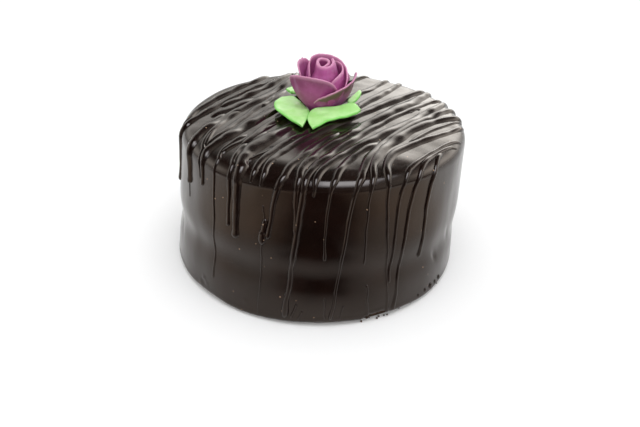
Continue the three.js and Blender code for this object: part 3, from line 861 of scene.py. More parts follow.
# %% [markdown]
# ## A ribbon of icing
# The rose and the leaves are ribbons of icing from a piping bag. A ribbon starts as a flat grid whose
# corners are moved to its form. Solidify gives it its thickness, by a vertex group that says how much
# of it each corner gets, and Subdivision Surface rounds the rim. Both are applied at once, so that the
# finished mesh is all there is to the piece. Marks on the corners tell the finish later where a rim or
# an edge is.

# %% Helpers for ribbons
def apply_modifier(piece, kind, **settings):
    make_active(piece)
    modifier = piece.modifiers.new(kind.title(), kind)
    for setting, value in settings.items():
        setattr(modifier, setting, value)
    bpy.ops.object.modifier_apply(modifier=modifier.name)


def thicken(piece, most, shares, levels=1):
    group = piece.vertex_groups.new(name="thickness")
    for n, share in enumerate(shares):
        group.add([n], share, "REPLACE")
    apply_modifier(piece, "SOLIDIFY", thickness=most * MM, offset=0, vertex_group="thickness")
    apply_modifier(piece, "SUBSURF", levels=levels, render_levels=levels)
    piece.vertex_groups.clear()


def mark_corners(piece, name, values):
    mark = piece.data.attributes.new(name, "FLOAT", "POINT")
    mark.data.foreach_set("value", values)


print("pieces so far:", body.name, "and", drizzle.name)

# %% [markdown]
# ## The petals of the rose
# A piped rose is a few ribbons of icing laid round a bud. The rule of a petal sets its foot on a small
# circle and leads its rim along a larger one, whose radius and height change from one end to the other,
# so that the petals lean and overlap as on the real rose. The ribbon is full at the foot and thin at
# the rim, lower and thinner towards both ends, and torn a little along the rim.

# %% Rule of a petal
PETAL_THICK = 2.4
PETAL_ROWS = 18
PETAL_STEP, PETAL_LEAST = 3, 20
RIM_THIN = 0.36
END_LOW, END_THIN = 0.8, 0.6
PETAL_WAVE, PETAL_WAVE_LENGTH = 0.4, 22
TEAR_LENGTH = 5
PETAL_RIM_START = 0.86


def through(values, u):
    a, b, c = values
    return a * (2 * u - 1) * (u - 1) + 4 * b * u * (1 - u) + c * u * (2 * u - 1)


def full_between_ends(u):
    return 1 - abs(2 * u - 1) ** 6


def petal(name, start, stop, foot, radius, height, bend, belly, curl, ragged, olive):
    columns = max(PETAL_LEAST, round((stop - start) / PETAL_STEP))
    piece = add_grid(name, columns, PETAL_ROWS)
    shares = corner_shares(piece)

    def rule(u, v):
        azimuth = math.radians(lerp(start, stop, u))
        along = u * (stop - start)
        spread = lerp(foot, through(radius, u), v ** lerp(*bend, u * u))
        flare = spread + lerp(*belly, u * u) * math.sin(math.pi * v) + curl * v**6
        wave = PETAL_WAVE * noise.noise(Vector((along / PETAL_WAVE_LENGTH, start, v))) * v
        tear = ragged * noise.noise(Vector((along / TEAR_LENGTH, start, 5))) * v**8
        r = flare + wave
        z = v * through(height, u) * lerp(END_LOW, 1, full_between_ends(u)) + tear
        return ROSE_PLACE + Vector((r * math.sin(azimuth), -r * math.cos(azimuth), z))

    place_corners(piece, rule)
    mark_corners(piece, "rim", [smoothstep(v, PETAL_RIM_START, 1) for u, v in shares])
    mark_corners(piece, "height", [olive * v for u, v in shares])
    thickness = [lerp(1, RIM_THIN, v) * lerp(END_THIN, 1, full_between_ends(u)) for u, v in shares]
    thicken(piece, PETAL_THICK, thickness)
    return piece


print("thickness of a petal at its rim:", round(PETAL_THICK * RIM_THIN, 2), "mm")

# %% [markdown]
# ## Six petals
# Two petals hug the bud, two stand behind it and two open out to the front. The front right one bends
# far outwards at its end. Each row of numbers was found by laying the render beside the photograph.

# %% Petals
STRAIGHT = (1, 1)
# name, azimuths of both ends, radius of the foot, radii and heights of the rim at its start, middle
# and end, bend and belly at both ends, curl and raggedness of the rim, olive on the outer face
PETALS = [
    ("hood", 52, 286, 4, (16.4, 11, 7.2), (19, 28.4, 24), STRAIGHT, (0.6, 2.6), -1.2, 0.3, 0.4),
    ("inner", 18, 150, 5, (9.4, 11.4, 8.6), (18, 24, 27), STRAIGHT, (3, 2.4), -0.5, 0.3, 0.2),
    ("back_left", -150, -72, 4, (10.5, 12.8, 11), (25, 26.5, 21.5), STRAIGHT, (1.2, 1.2), 0.4, 1.4, 0.6),
    ("back", 105, 235, 4.4, (15, 14.5, 13), (20, 20, 19), STRAIGHT, (1.2, 1.2), 1, 0.4, 0.6),
    ("front_left", -104, 42, 4.4, (16.2, 14.2, 12), (17.4, 23, 17.5), STRAIGHT, (3.1, 0), 1.2, 0.25, 0.75),
    ("front_right", -24, 112, 5, (9.5, 15.2, 18.5), (9, 16.5, 23), (1.5, 0.35), (0.2, 2), 1, 0.7, 1.3),
]
petals = [petal(*row) for row in PETALS]
print("petals:", ", ".join(piece.name for piece in petals))

# %% [markdown]
# ## The bud
# The bud is one ribbon rolled up a little more than one and a half times, to a cone with a rolled
# mouth. A lathe would close it to a knob, so it is a grid led along a spiral. Its inner end is drawn in
# above the belly and leaves the small three-cornered mouth that a piped rose has. The mouth slopes down
# to the front.

# %% Bud
BUD_TURNS = 1.6
BUD_START = -100
BUD_COLUMNS, BUD_ROWS = 110, 22
BUD_PROFILE = [(0, 6), (8, 9.2), (13, 9.2), (19, 8), (24, 6.5), (28, 5)]  # height and radius
BUD_HEIGHTS = (26.8, 27.5)
INNER_DRAWN, DRAWN_START, DRAWN_END = 0.52, 0.6, 0.95
LOBE = 0.16
BELLY_TOP, MOUTH_START = 12, 22
BUD_SHIFT = 0.5
MOUTH_SLOPE, SLOPE_START, SLOPE_FULL = 0.45, 16, 27.5
BUD_THICK, BUD_RIM_THIN, BUD_RIM_START = 2.0, 0.8, 0.92


def bud_radius(z):
    for (low_z, low_r), (high_z, high_r) in zip(BUD_PROFILE, BUD_PROFILE[1:]):
        if z <= high_z:
            return lerp(low_r, high_r, smoothstep(z, low_z, high_z))
    return BUD_PROFILE[-1][1]


def bud_rule(u, v):
    turn = math.radians(BUD_START + 360 * BUD_TURNS * u)
    z = v * lerp(*BUD_HEIGHTS, u)
    rolled = lerp(INNER_DRAWN, 1.0, smoothstep(u, DRAWN_START, DRAWN_END))
    lobes = 1 + LOBE * math.cos(3 * turn + 0.6) * (1 - u) * v
    r = bud_radius(z) * lerp(1, rolled * lobes, smoothstep(z, BELLY_TOP, MOUTH_START))
    x = r * math.sin(turn) + BUD_SHIFT * smoothstep(z, 0, BELLY_TOP)
    y = -r * math.cos(turn)
    z += MOUTH_SLOPE * y * smoothstep(z, SLOPE_START, SLOPE_FULL)
    return ROSE_PLACE + Vector((x, y, z))


bud = add_grid("bud", BUD_COLUMNS, BUD_ROWS)
bud_shares = corner_shares(bud)
place_corners(bud, bud_rule)
mark_corners(bud, "rim", [smoothstep(v, BUD_RIM_START, 1) for u, v in bud_shares])
mark_corners(bud, "height", [0] * len(bud_shares))
thicken(bud, BUD_THICK, [lerp(1, BUD_RIM_THIN, v) for u, v in bud_shares])
print("bud across at its belly:", 2 * bud_radius(BELLY_TOP), "mm")

# %% [markdown]
# ## The whole rose
# Petals and bud are joined to one piece. The outer faces of the petals have taken on an olive tinge
# towards their rims. They can be told from the inner faces by their normals, which point away from the
# middle of the rose, so a mark is put on the corners there.

# %% Join the rose and mark its outer faces
rose = join_pieces(petals + [bud], "icing_rose")
shade_and_report(rose)
heights = [mark.value for mark in rose.data.attributes["height"].data]
outer = []
for corner, height in zip(rose.data.vertices, heights):
    away = corner.co - ROSE_PLACE * MM
    facing = corner.normal.x * away.x + corner.normal.y * away.y
    outer.append(height**2 if facing > 0 else 0)
mark_corners(rose, "outer", outer)
print("corners on outer faces:", sum(share > 0 for share in outer))

# %% [markdown]
# ## The leaves
# Each leaf is one stroke from a leaf-shaped nozzle: wide and round where it starts, then pulled away to
# a tip. It is a grid between two curved edges. Soft folds run over its face, its edges ripple, and one
# edge may lift. All four are made by the same function, each from its own edges.

# %% Rule of a leaf
LEAF_THICK = 2.2
LEAF_EDGE_THIN = 0.5
LEAF_COLUMNS, LEAF_ROWS = 20, 34
END_CUT = 0.012  # share of the length left out at each end, where the edges meet
EDGE_PAST, EDGE_PAST_END = 0.045, 0.3
LEAF_WAVE = 0.4
FOLD_LENGTH = 6
FLUTE = 0.10
LIFT_FULL, LIFT_FADE, LIFT_END = 0.2, 0.25, 0.8


def smooth_through(points, share):
    last = len(points) - 1
    place = share * last
    first = min(int(place), last - 1)
    t = place - first
    before, a, b, after = (Vector(points[clamp(first + n, 0, last)]) for n in (-1, 0, 1, 2))
    leaving, arriving = (b - before) / 2, (after - a) / 2
    cubic = a * 2 - b * 2 + leaving + arriving
    square = b * 3 - a * 3 - leaving * 2 - arriving
    return cubic * t**3 + square * t**2 + leaving * t + a


def leaf(name, end, right, left, tip, end_height, tip_height, lift, folds):
    piece = add_grid(name, LEAF_COLUMNS, LEAF_ROWS)
    shares = corner_shares(piece)
    left_edge = [end, *left, tip]
    right_edge = [end, *right, tip]
    crumple = Vector((end[0] * 3.1, 0, 0))

    def rule(u, v):
        along = lerp(END_CUT, 1 - END_CUT, v)
        past = EDGE_PAST * smoothstep(v, 0, EDGE_PAST_END)
        from_left = smooth_through(left_edge, along)
        plan = from_left.lerp(smooth_through(right_edge, along), lerp(-past, 1 + past, u))
        edge = (2 * u - 1) ** 2
        raised = lift * u * u * smoothstep(v, 0, LIFT_FULL) * (1 - smoothstep(v, LIFT_FADE, LIFT_END))
        wave = LEAF_WAVE * math.sin(7 * v + 4 * u) * edge * (1 - v**3) + raised
        spot = Vector((plan.x / FOLD_LENGTH, plan.y / FOLD_LENGTH, 0))
        fold = folds * noise.noise(spot + crumple) * math.sin(math.pi * v)
        flute = FLUTE * math.sin(26 * v + 5 * abs(u - 0.5)) * edge * (1 - v)
        z = HEIGHT + lerp(end_height, tip_height, smoothstep(v, 0, 1)) + wave + fold + flute
        return plan.x, plan.y, z

    place_corners(piece, rule)
    # the edge mark says where the finish paints a deeper green as shade
    mark_corners(piece, "edge", [max(abs(2 * u - 1), 1 - 12 * v) ** 4 for u, v in shares])
    thickness = [lerp(1, LEAF_EDGE_THIN, max((2 * u - 1) ** 2, v**4)) for u, v in shares]
    thicken(piece, LEAF_THICK, thickness)
    merge_and_face_outwards(piece)
    shade_and_report(piece)
    return piece


print("thickness of a leaf at its edge:", LEAF_THICK * LEAF_EDGE_THIN, "mm")

# %% [markdown]
# ## Four leaves
# Two broad leaves lie in front of the rose and meet at their tips. The two behind it show only as tips
# beside the rose. The edges are given as points in plan, from the round end to the tip.

# %% Leaves
# name, round end, points along the right and the left edge, tip, heights of the end and the tip,
# lift of one edge and depth of the folds
LEAVES = [
    ("leaf_front_left_icing", (-19.8, 14.4), [(-23, 7.2), (-21.8, -2.6), (-16.8, -10.2), (-11.4, -16)],
     [(-14, 16.4), (-8.4, 6.8), (-4.9, -1.6), (-5.8, -12.4)], (-7.6, -22), 3.8, 2.3, 1.3, 0.9),
    ("leaf_front_right_icing", (22.8, -1.8), [(19.4, 1.6), (9.4, -1.9), (-2.2, -2.7), (-5, -12.4)],
     [(20.6, -6.6), (14, -10.6), (6, -13.5), (0.5, -20)], (-2.4, -24), 4, 2.3, 3, 0.9),
    ("leaf_back_left_icing", (-14.4, 19.8), [(-10.4, 20.4), (-6.4, 25.6), (-4, 31), (-2.5, 37)],
     [(-17.2, 23.6), (-17, 29), (-13, 35), (-7, 40)], (-1, 42), 5.4, 2.5, 0, 0.3),
    ("leaf_back_right_icing", (17, 11.2), [(19.6, 12.2), (21.8, 15.2), (23.4, 18.6), (24.4, 22.4)],
     [(16.8, 13.6), (18.2, 17), (20.2, 20.4), (22.4, 24)], (24, 26.6), 3, 4.8, 0, 0.3),
]
leaves = [leaf(*row) for row in LEAVES]

# %% [markdown]
# ## Crumbs at the foot
# A few crumbs lie where the glaze is chipped and along the foot on the right. Each starts as a small
# icosphere whose corners are pushed about, and rests on the ground. Copies of one crumb would be
# quicker, but it would show that they are twins.

# %% Crumbs
# first and last azimuth of a group, and the number of crumbs in it
CRUMB_GROUPS = [(17, 29, 7), (32, 60, 6)]
CRUMB_JITTER, CRUMB_OUT, CRUMB_SIZES = (0.1, 0.9), (-2.6, -0.6), (0.3, 0.75)
CRUMB_UNEVEN, CRUMB_WAVE, CRUMB_FLAT = 0.45, 1.6, 0.75
CRUMB_SEED = 7


def crumb(number, azimuth, out, size):
    clear_selection()
    place = cake_point(azimuth, side_radius(azimuth, 0) + out, 0) * MM
    bpy.ops.mesh.primitive_ico_sphere_add(subdivisions=2, radius=size * MM)
    piece = bpy.context.object
    own_part = Vector((number * 3.7, 0, 0))
    for corner in piece.data.vertices:
        corner.co *= 1 + CRUMB_UNEVEN * noise.noise(corner.co.normalized() * CRUMB_WAVE + own_part)
        corner.co.z *= CRUMB_FLAT
    lowest = min(corner.co.z for corner in piece.data.vertices)
    for corner in piece.data.vertices:
        corner.co += place - Vector((0, 0, lowest))
    return piece


crumb_draw = SeededDraw(CRUMB_SEED)
crumb_pieces = []
for first, last, count in CRUMB_GROUPS:
    for n in range(count):
        azimuth = lerp(first, last, (n + crumb_draw(*CRUMB_JITTER)) / count)
        size = crumb_draw(*CRUMB_OUT), crumb_draw(*CRUMB_SIZES)
        crumb_pieces.append(crumb(len(crumb_pieces), azimuth, *size))
crumbs = join_pieces(crumb_pieces, "crumbs")
shade_and_report(crumbs)

# %% [markdown]
# ## Materials: helpers for nodes
# Every finish is a Principled shader with noise behind its colour, its roughness and its bump. By hand
# the nodes would be added and linked in the shader editor, and here a small class does that. The
# patterns read Object coordinates, and all pieces sit at the origin, so a pattern keeps its place and
# its true scale. The first class is of use for any node tree, and the second is a finish.

# %% Helper for any node tree
class NodeMaker:
    def __init__(self, tree, interpolation="LINEAR"):
        self.nodes = tree.nodes
        self.links = tree.links
        self.interpolation = interpolation

    def maths(self, operation, *values):
        node = self.nodes.new("ShaderNodeMath")
        node.operation = operation
        for n, value in enumerate(values):
            self.links.new(value, node.inputs[n])
        return node.outputs["Value"]

    def product(self, first, *others):
        for other in others:
            first = self.maths("MULTIPLY", first, other)
        return first

    def remap(self, value, old, new):
        node = self.nodes.new("ShaderNodeMapRange")
        node.interpolation_type = self.interpolation
        for socket, number in zip(("From Min", "From Max", "To Min", "To Max"), (*old, *new)):
            node.inputs[socket].default_value = number
        self.links.new(value, node.inputs["Value"])
        return node.outputs["Result"]

    def x_y_z(self, vector):
        node = self.nodes.new("ShaderNodeSeparateXYZ")
        self.links.new(vector, node.inputs["Vector"])
        return node.outputs["X"], node.outputs["Y"], node.outputs["Z"]


print("helper for nodes:", NodeMaker.__name__)

# %% Helper for a finish
class Finish(NodeMaker):
    def __init__(self, name):
        self.material = bpy.data.materials.new(name)
        self.material.use_nodes = True
        super().__init__(self.material.node_tree)
        self.shader = self.nodes["Principled BSDF"]
        self.place = self.nodes.new("ShaderNodeTexCoord").outputs["Object"]

    def noise(self, size_mm, detail=4, roughness=0.5, stretch=(1, 1, 1)):
        mapping = self.nodes.new("ShaderNodeMapping")
        mapping.inputs["Scale"].default_value = stretch
        texture = self.nodes.new("ShaderNodeTexNoise")
        texture.inputs["Scale"].default_value = 1 / (size_mm * MM)
        texture.inputs["Detail"].default_value = detail
        texture.inputs["Roughness"].default_value = roughness
        self.links.new(self.place, mapping.inputs["Vector"])
        self.links.new(mapping.outputs["Vector"], texture.inputs["Vector"])
        return texture.outputs["Fac"]

    def specks(self, spacing_mm, size_mm, kept):
        cells = self.nodes.new("ShaderNodeTexVoronoi")
        cells.inputs["Scale"].default_value = 1 / (spacing_mm * MM)
        self.links.new(self.place, cells.inputs["Vector"])
        share = size_mm / spacing_mm
        inside = self.remap(cells.outputs["Distance"], (0.6 * share, share), (1, 0))
        chance = self.nodes.new("ShaderNodeSeparateColor")
        self.links.new(cells.outputs["Color"], chance.inputs["Color"])
        chosen = self.remap(chance.outputs["Red"], (1 - kept, 1.01 - kept), (0, 1))
        return self.maths("MULTIPLY", inside, chosen)

    def attribute(self, name):
        node = self.nodes.new("ShaderNodeAttribute")
        node.attribute_name = name
        return node.outputs["Fac"]

    def mix(self, share, first, second):
        node = self.nodes.new("ShaderNodeMix")
        node.data_type = "RGBA"
        self.links.new(share, node.inputs["Factor"])
        # a Mix node has sockets for each kind of data, and its colours are inputs 6 and 7 and output 2
        for socket, colour in ((node.inputs[6], first), (node.inputs[7], second)):
            if isinstance(colour, tuple):
                socket.default_value = (*colour, 1)
            else:
                self.links.new(colour, socket)
        return node.outputs[2]

    def bump(self, value, depth_mm, strength=1.0, before=None):
        node = self.nodes.new("ShaderNodeBump")
        node.inputs["Strength"].default_value = strength
        node.inputs["Distance"].default_value = depth_mm * MM
        self.links.new(value, node.inputs["Height"])
        if before is not None:
            self.links.new(before, node.inputs["Normal"])
        return node.outputs["Normal"]

    def set(self, **sockets):
        for name, value in sockets.items():
            socket = self.shader.inputs[name.replace("_", " ")]
            if hasattr(value, "is_output"):
                self.links.new(value, socket)
            else:
                socket.default_value = value


print("helper for finishes:", Finish.__name__)

# %% [markdown]
# ## The chocolate
# Dark glaze is nearly black: what shows of it is mostly its gloss, which has a warm tint. Its roughness
# changes in soft patches, where the glaze dried satin or stayed wet, and a faint bump in three sizes
# breaks up the reflections. Tiny pale specks are scattered over it: bits of crumb that set in the glaze,
# and painted glints on burst bubbles. The strands are the same chocolate, so one function makes both
# finishes.

# %% Chocolate finishes
SHARE = (0, 1)
PATCHES = (0.35, 0.7)  # most values of a noise lie in this range
SOFT_PATCHES = (0.35, 0.68)
SPECK_AND_GLINT = (0.3, 0.2, 0.13)
WARM_GLOSS = (1, 0.87, 0.76, 1)
CHOCOLATE_IOR = 1.5


def chocolate(name, dark, light, gloss, satin):
    finish = Finish(name)
    colour = finish.mix(finish.remap(finish.noise(18, detail=3), PATCHES, SHARE), dark, light)
    # pale specks: partly crumb set in the glaze, partly painted glints on small bubbles
    colour = finish.mix(finish.specks(spacing_mm=4, size_mm=0.4, kept=0.25), colour, SPECK_AND_GLINT)
    roughness = finish.remap(finish.noise(11, detail=4), SOFT_PATCHES, (gloss, satin))
    fine = finish.bump(finish.noise(2.2, detail=3), depth_mm=0.03, strength=0.5)
    runs = finish.noise(7, detail=2, stretch=(1, 1, 0.35))
    wavy = finish.bump(runs, depth_mm=0.12, strength=0.5, before=fine)
    broad = finish.bump(finish.noise(32, detail=1), depth_mm=0.5, strength=2.5, before=wavy)
    finish.set(Base_Color=colour, Roughness=roughness, Normal=broad)
    finish.set(IOR=CHOCOLATE_IOR, Specular_Tint=WARM_GLOSS)
    return finish.material


glaze = chocolate("dark_glaze", (0.005, 0.0021, 0.0015), (0.009, 0.0038, 0.0027), gloss=0.13, satin=0.23)
strand_chocolate = chocolate(
    "strand_chocolate", (0.005, 0.002, 0.0015), (0.008, 0.0034, 0.0025), gloss=0.14, satin=0.22
)
drizzle.data.materials.append(strand_chocolate)
print("chocolate finishes:", glaze.name, "and", strand_chocolate.name)

# %% [markdown]
# ## The crumb
# The bare foot under the glaze and the loose crumbs are brown cake, rough all over. One grain of noise
# gives both the colour and the bump, so that shade is painted dark into the hollows. On the body the
# faces under the lip get this finish as a second material slot.

# %% Crumb finish
CRUMB_HOLLOW_SHADE, CRUMB_LIGHT = (0.012, 0.006, 0.003), (0.09, 0.042, 0.02)
UNDER_LIP = 0.5

crumb_finish = Finish("chocolate_crumb")
crumb_grain = crumb_finish.noise(1.2, detail=6, roughness=0.65)
# painted shade: the low places of the grain, its hollows, get the dark colour
crumb_colour = crumb_finish.mix(crumb_finish.remap(crumb_grain, PATCHES, SHARE), CRUMB_HOLLOW_SHADE, CRUMB_LIGHT)
crumb_normal = crumb_finish.bump(crumb_grain, depth_mm=0.5)
crumb_finish.set(Base_Color=crumb_colour, Roughness=0.75, Normal=crumb_normal)
crumbs.data.materials.append(crumb_finish.material)
body.data.materials.append(glaze)
body.data.materials.append(crumb_finish.material)
for face in body.data.polygons:
    middle = face.center / MM
    under = middle.z < UNDER_LIP + lip_height(math.degrees(math.atan2(middle.x, -middle.y)))
    if under and math.hypot(middle.x, middle.y) < FOOT_RADIUS - LIP_ROUND:
        face.material_index = 1
print("crumb faces on the body:", sum(face.material_index for face in body.data.polygons))

# %% [markdown]
# ## The purple icing
# Icing is matt and lets light in a little way, so thin rims glow. The rose is purple in soft patches
# with a paler bloom here and there. Its rims, where the icing is thin, are a lighter pink, and its
# outer faces have an olive tinge. The marks that were put on the corners say where.

# %% Icing of the rose
PURPLE_DARK, PURPLE_LIGHT = (0.28, 0.048, 0.17), (0.38, 0.078, 0.25)
OLIVE, PLUM = (0.12, 0.075, 0.05), (0.25, 0.07, 0.15)
BLOOM, PINK = (0.42, 0.2, 0.36), (0.6, 0.27, 0.42)
GLOW_DEPTH = 2 * MM

rose_finish = Finish("purple_icing")
rose_share = rose_finish.remap(rose_finish.noise(6, detail=4), SOFT_PATCHES, SHARE)
rose_colour = rose_finish.mix(rose_share, PURPLE_DARK, PURPLE_LIGHT)
outer_share = rose_finish.remap(rose_finish.attribute("outer"), (0.25, 0.9), (0, 0.9))
plum_share = rose_finish.remap(rose_finish.noise(9, detail=3), (0.47, 0.72), SHARE)
rose_colour = rose_finish.mix(outer_share, rose_colour, rose_finish.mix(plum_share, OLIVE, PLUM))
bloom_noise = rose_finish.noise(5, detail=3, stretch=(1, 1, 0.5))
bloom_share = rose_finish.remap(bloom_noise, (0.55, 0.72), (0, 0.45))
rose_colour = rose_finish.mix(bloom_share, rose_colour, BLOOM)
rim_share = rose_finish.remap(rose_finish.attribute("rim"), (0.2, 1), (0, 0.85))
rose_colour = rose_finish.mix(rim_share, rose_colour, PINK)
rose_normal = rose_finish.bump(rose_finish.noise(1.6, detail=5), depth_mm=0.12, strength=0.6)
rose_finish.set(Base_Color=rose_colour, Roughness=0.5, Normal=rose_normal, Subsurface_Weight=0.15)
rose_finish.set(Subsurface_Radius=(0.8, 0.35, 0.55), Subsurface_Scale=GLOW_DEPTH)
rose.data.materials.append(rose_finish.material)
print("nodes in the purple icing:", len(rose_finish.nodes))

# %% [markdown]
# ## The green icing
# The leaves are light green, with a deeper green painted as shade along their edges and at the round end.
# It is made as the purple was, with one mark that says where that painted shade goes.

# %% Icing of the leaves
GREEN_DARK, GREEN_LIGHT, GREEN_EDGE_SHADE = (0.36, 0.72, 0.22), (0.52, 0.83, 0.37), (0.19, 0.6, 0.1)

leaf_finish = Finish("green_icing")
leaf_share = leaf_finish.remap(leaf_finish.noise(7, detail=4), SOFT_PATCHES, SHARE)
leaf_colour = leaf_finish.mix(leaf_share, GREEN_DARK, GREEN_LIGHT)
# painted shade: a deeper green along the edges and at the round end of each leaf
edge_shade_share = leaf_finish.remap(leaf_finish.attribute("edge"), (0.35, 1), (0, 0.9))
leaf_colour = leaf_finish.mix(edge_shade_share, leaf_colour, GREEN_EDGE_SHADE)
leaf_normal = leaf_finish.bump(leaf_finish.noise(1.8, detail=4), depth_mm=0.1, strength=0.5)
leaf_finish.set(Base_Color=leaf_colour, Roughness=0.45, Normal=leaf_normal, Subsurface_Weight=0.25)
leaf_finish.set(Subsurface_Radius=(0.5, 1.0, 0.35), Subsurface_Scale=GLOW_DEPTH)
for piece in leaves:
    piece.data.materials.append(leaf_finish.material)
print("finishes:", len(bpy.data.materials))

# %% [markdown]
# ## Tie the pieces to the frame
# The cake has no moving part, so every piece rides on the one body. Each piece stands for the solid
# that it was modelled on, which is then no longer shown. The crumbs stand for none, as no solid has
# them.

# %% Ride and replace
for piece, node in [(body, "cake"), (drizzle, "cake"), (rose, "rose")]:
    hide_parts(node)
for piece in leaves:
    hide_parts(piece.name.removesuffix("_icing"))
for piece in [body, drizzle, crumbs, rose, *leaves]:
    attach(piece, "root")

# %% [markdown]
# ## Camera
# The camera stands in front of the cake and a little above it, close enough for the foot to look
# clearly smaller than the rim. Its place, aim, small roll and lens were solved from outlines in the
# photograph. A Track To constraint would aim it, but not roll it, so its matrix is put together from
# three directions.

# %% Camera
CAMERA_PLACE = Vector((-1.233, -356.979, 222.985)) * MM
CAMERA_AIM = Vector((2.601, -4.084, 21.395)) * MM
CAMERA_ROLL = math.radians(1.33)
LENS, SENSOR_WIDTH = 39.7, 36
NEAREST = 10 * MM

bpy.ops.object.camera_add(location=CAMERA_PLACE)
camera = bpy.context.object
camera.data.lens = LENS
camera.data.sensor_width = SENSOR_WIDTH
camera.data.clip_start = NEAREST
forward = (CAMERA_AIM - CAMERA_PLACE).normalized()
level = forward.cross(Vector((0, 0, 1))).normalized()
upward = level.cross(forward)
rolled_level = level * math.cos(CAMERA_ROLL) + upward * math.sin(CAMERA_ROLL)
rolled_upward = upward * math.cos(CAMERA_ROLL) - level * math.sin(CAMERA_ROLL)
turned = Matrix((rolled_level, rolled_upward, -forward)).transposed().to_4x4()
camera.matrix_world = Matrix.Translation(CAMERA_PLACE) @ turned
bpy.context.scene.camera = camera
print("camera distance:", round((CAMERA_AIM - CAMERA_PLACE).length / MM), "mm")

# %% [markdown]
# ## Floor and soft light
# The light is that of a white studio: a pale floor, pale surroundings, and two large soft boxes, one
# overhead and one in front. Their plain rectangles would show in the gloss of the glaze, so gloss
# doesn't see them. What it sees instead comes in the last steps. The floor is a stage, not a piece of
# the part.

# %% Floor
FLOOR_RADIUS = 6
FLOOR_DROP = 0.2 * MM

clear_selection()
bpy.ops.mesh.primitive_circle_add(
    vertices=96, radius=FLOOR_RADIUS, fill_type="NGON", location=(0, 0, -FLOOR_DROP)
)
floor = bpy.context.object
floor.name = "floor"
floor_finish = Finish("pale_floor")
floor_tone = floor_finish.mix(floor_finish.noise(400, detail=2), (0.94, 0.94, 0.94), (0.96, 0.96, 0.96))
floor_finish.set(Base_Color=floor_tone, Roughness=0.9)
floor.data.materials.append(floor_finish.material)
print("floor across:", 2 * FLOOR_RADIUS, "m")

# %% Soft boxes
# name, place, aim, width and depth in metres, and watts
SOFT_BOXES = [
    ("overhead_box", (0.1, -0.3, 1.3), (0, 0, 0.08), 0.9, 0.7, 4),
    ("front_fill", (0.1, -1.2, 0.6), (0, 0, 0.1), 0.8, 0.5, 3),
]


def soft_box(name, place, aim, width, depth, watts):
    bpy.ops.object.light_add(type="AREA", location=place)
    box = bpy.context.object
    box.name = name
    box.data.shape = "RECTANGLE"
    box.data.size = width
    box.data.size_y = depth
    box.data.energy = watts
    box.rotation_euler = (Vector(aim) - Vector(place)).to_track_quat("-Z", "Y").to_euler()
    box.visible_glossy = False


for row in SOFT_BOXES:
    soft_box(*row)

# %% [markdown]
# ## A dark card for the reflections
# Photographers lay dark cards near a glossy thing to tone what it mirrors. In this glaze the side
# mirrors the floor in front of the cake, which would turn it grey. So a card lies just over the floor
# that only gloss sees. It is nearly black in the middle and paler to both sides, and it fades out close
# to the foot, where the glaze mirrors pale floor again. Far away it is dark all over, so that no light
# line shows under the rim. Its ranges are distances in metres, and each gives one share of its cover or
# its tone.

# %% Card that only gloss sees
CARD_SIZE = 6
CARD_LIFT = 0.4 * MM
CARD_DARK, CARD_PALE = (0.003, 0.002, 0.002), (0.75, 0.62, 0.5)
FAR_AWAY = (0.3, 0.6)

clear_selection()
bpy.ops.mesh.primitive_plane_add(size=CARD_SIZE, location=(0, 0, CARD_LIFT))
card = bpy.context.object
card.name = "dark_card"
card_finish = Finish("dark_card")
card_x, card_y, _ = card_finish.x_y_z(card_finish.place)
card_side = card_finish.maths("ABSOLUTE", card_x)
card_length = card_finish.nodes.new("ShaderNodeVectorMath")
card_length.operation = "LENGTH"
card_finish.links.new(card_finish.place, card_length.inputs[0])
card_reach = card_length.outputs["Value"]

card_centre = card_finish.remap(card_side, (0.03, 0.09), (1, 0))
card_foot = card_finish.remap(card_reach, (0.085, 0.135), (0.1, 1))
card_away = card_finish.remap(card_reach, (0.09, 0.2), (0.1, 1))
card_near = card_finish.maths("MAXIMUM", card_finish.product(card_centre, card_foot), card_away)
card_front = card_finish.remap(card_y, (-0.06, 0.02), (1, 0))
card_middle = card_finish.remap(card_side, (0.15, 0.26), (1, 0))
card_far = card_finish.remap(card_reach, FAR_AWAY, (0, 1))
card_cover = card_finish.maths("MAXIMUM", card_middle, card_far)
card_paler = card_finish.remap(card_side, (0.06, 0.16), (0, 1))
card_close = card_finish.remap(card_reach, FAR_AWAY, (1, 0.05))
card_tone = card_finish.mix(card_finish.product(card_paler, card_close), CARD_DARK, CARD_PALE)
card_finish.set(Alpha=card_finish.product(card_near, card_front, card_cover), Base_Color=card_tone)
card_finish.set(Roughness=1.0, Specular_IOR_Level=0.0)
card.data.materials.append(card_finish.material)
for ray_kind in ("camera", "diffuse", "shadow", "transmission", "volume_scatter"):
    setattr(card, f"visible_{ray_kind}", False)
print("nodes in the card's finish:", len(card_finish.nodes))

# %% [markdown]
# ## The white surroundings
# A plain white world lights the cake evenly from all round. That alone would make dark glaze look like
# grey plastic, because gloss would mirror white everywhere. So the world has two faces: this even white
# for all other rays, and a room with light and dark parts for gloss, which the next steps build from
# the direction in which a ray leaves.

# %% White world and the direction of a ray
WHITE = (1, 1, 1, 1)

world = bpy.data.worlds.new("white_studio")
bpy.context.scene.world = world
world.use_nodes = True
world.cycles.sampling_method = "NONE"
room = NodeMaker(world.node_tree, interpolation="SMOOTHSTEP")
pale = room.nodes["Background"]
pale.inputs["Color"].default_value = WHITE
pale.inputs["Strength"].default_value = 1.0
to_right, to_back, upwards = room.x_y_z(room.nodes.new("ShaderNodeTexCoord").outputs["Generated"])


def glow_of(colour, strength):
    node = room.nodes.new("ShaderNodeBackground")
    node.inputs["Color"].default_value = colour
    room.links.new(strength, node.inputs["Strength"])
    return node.outputs["Background"]


print("world:", world.name)

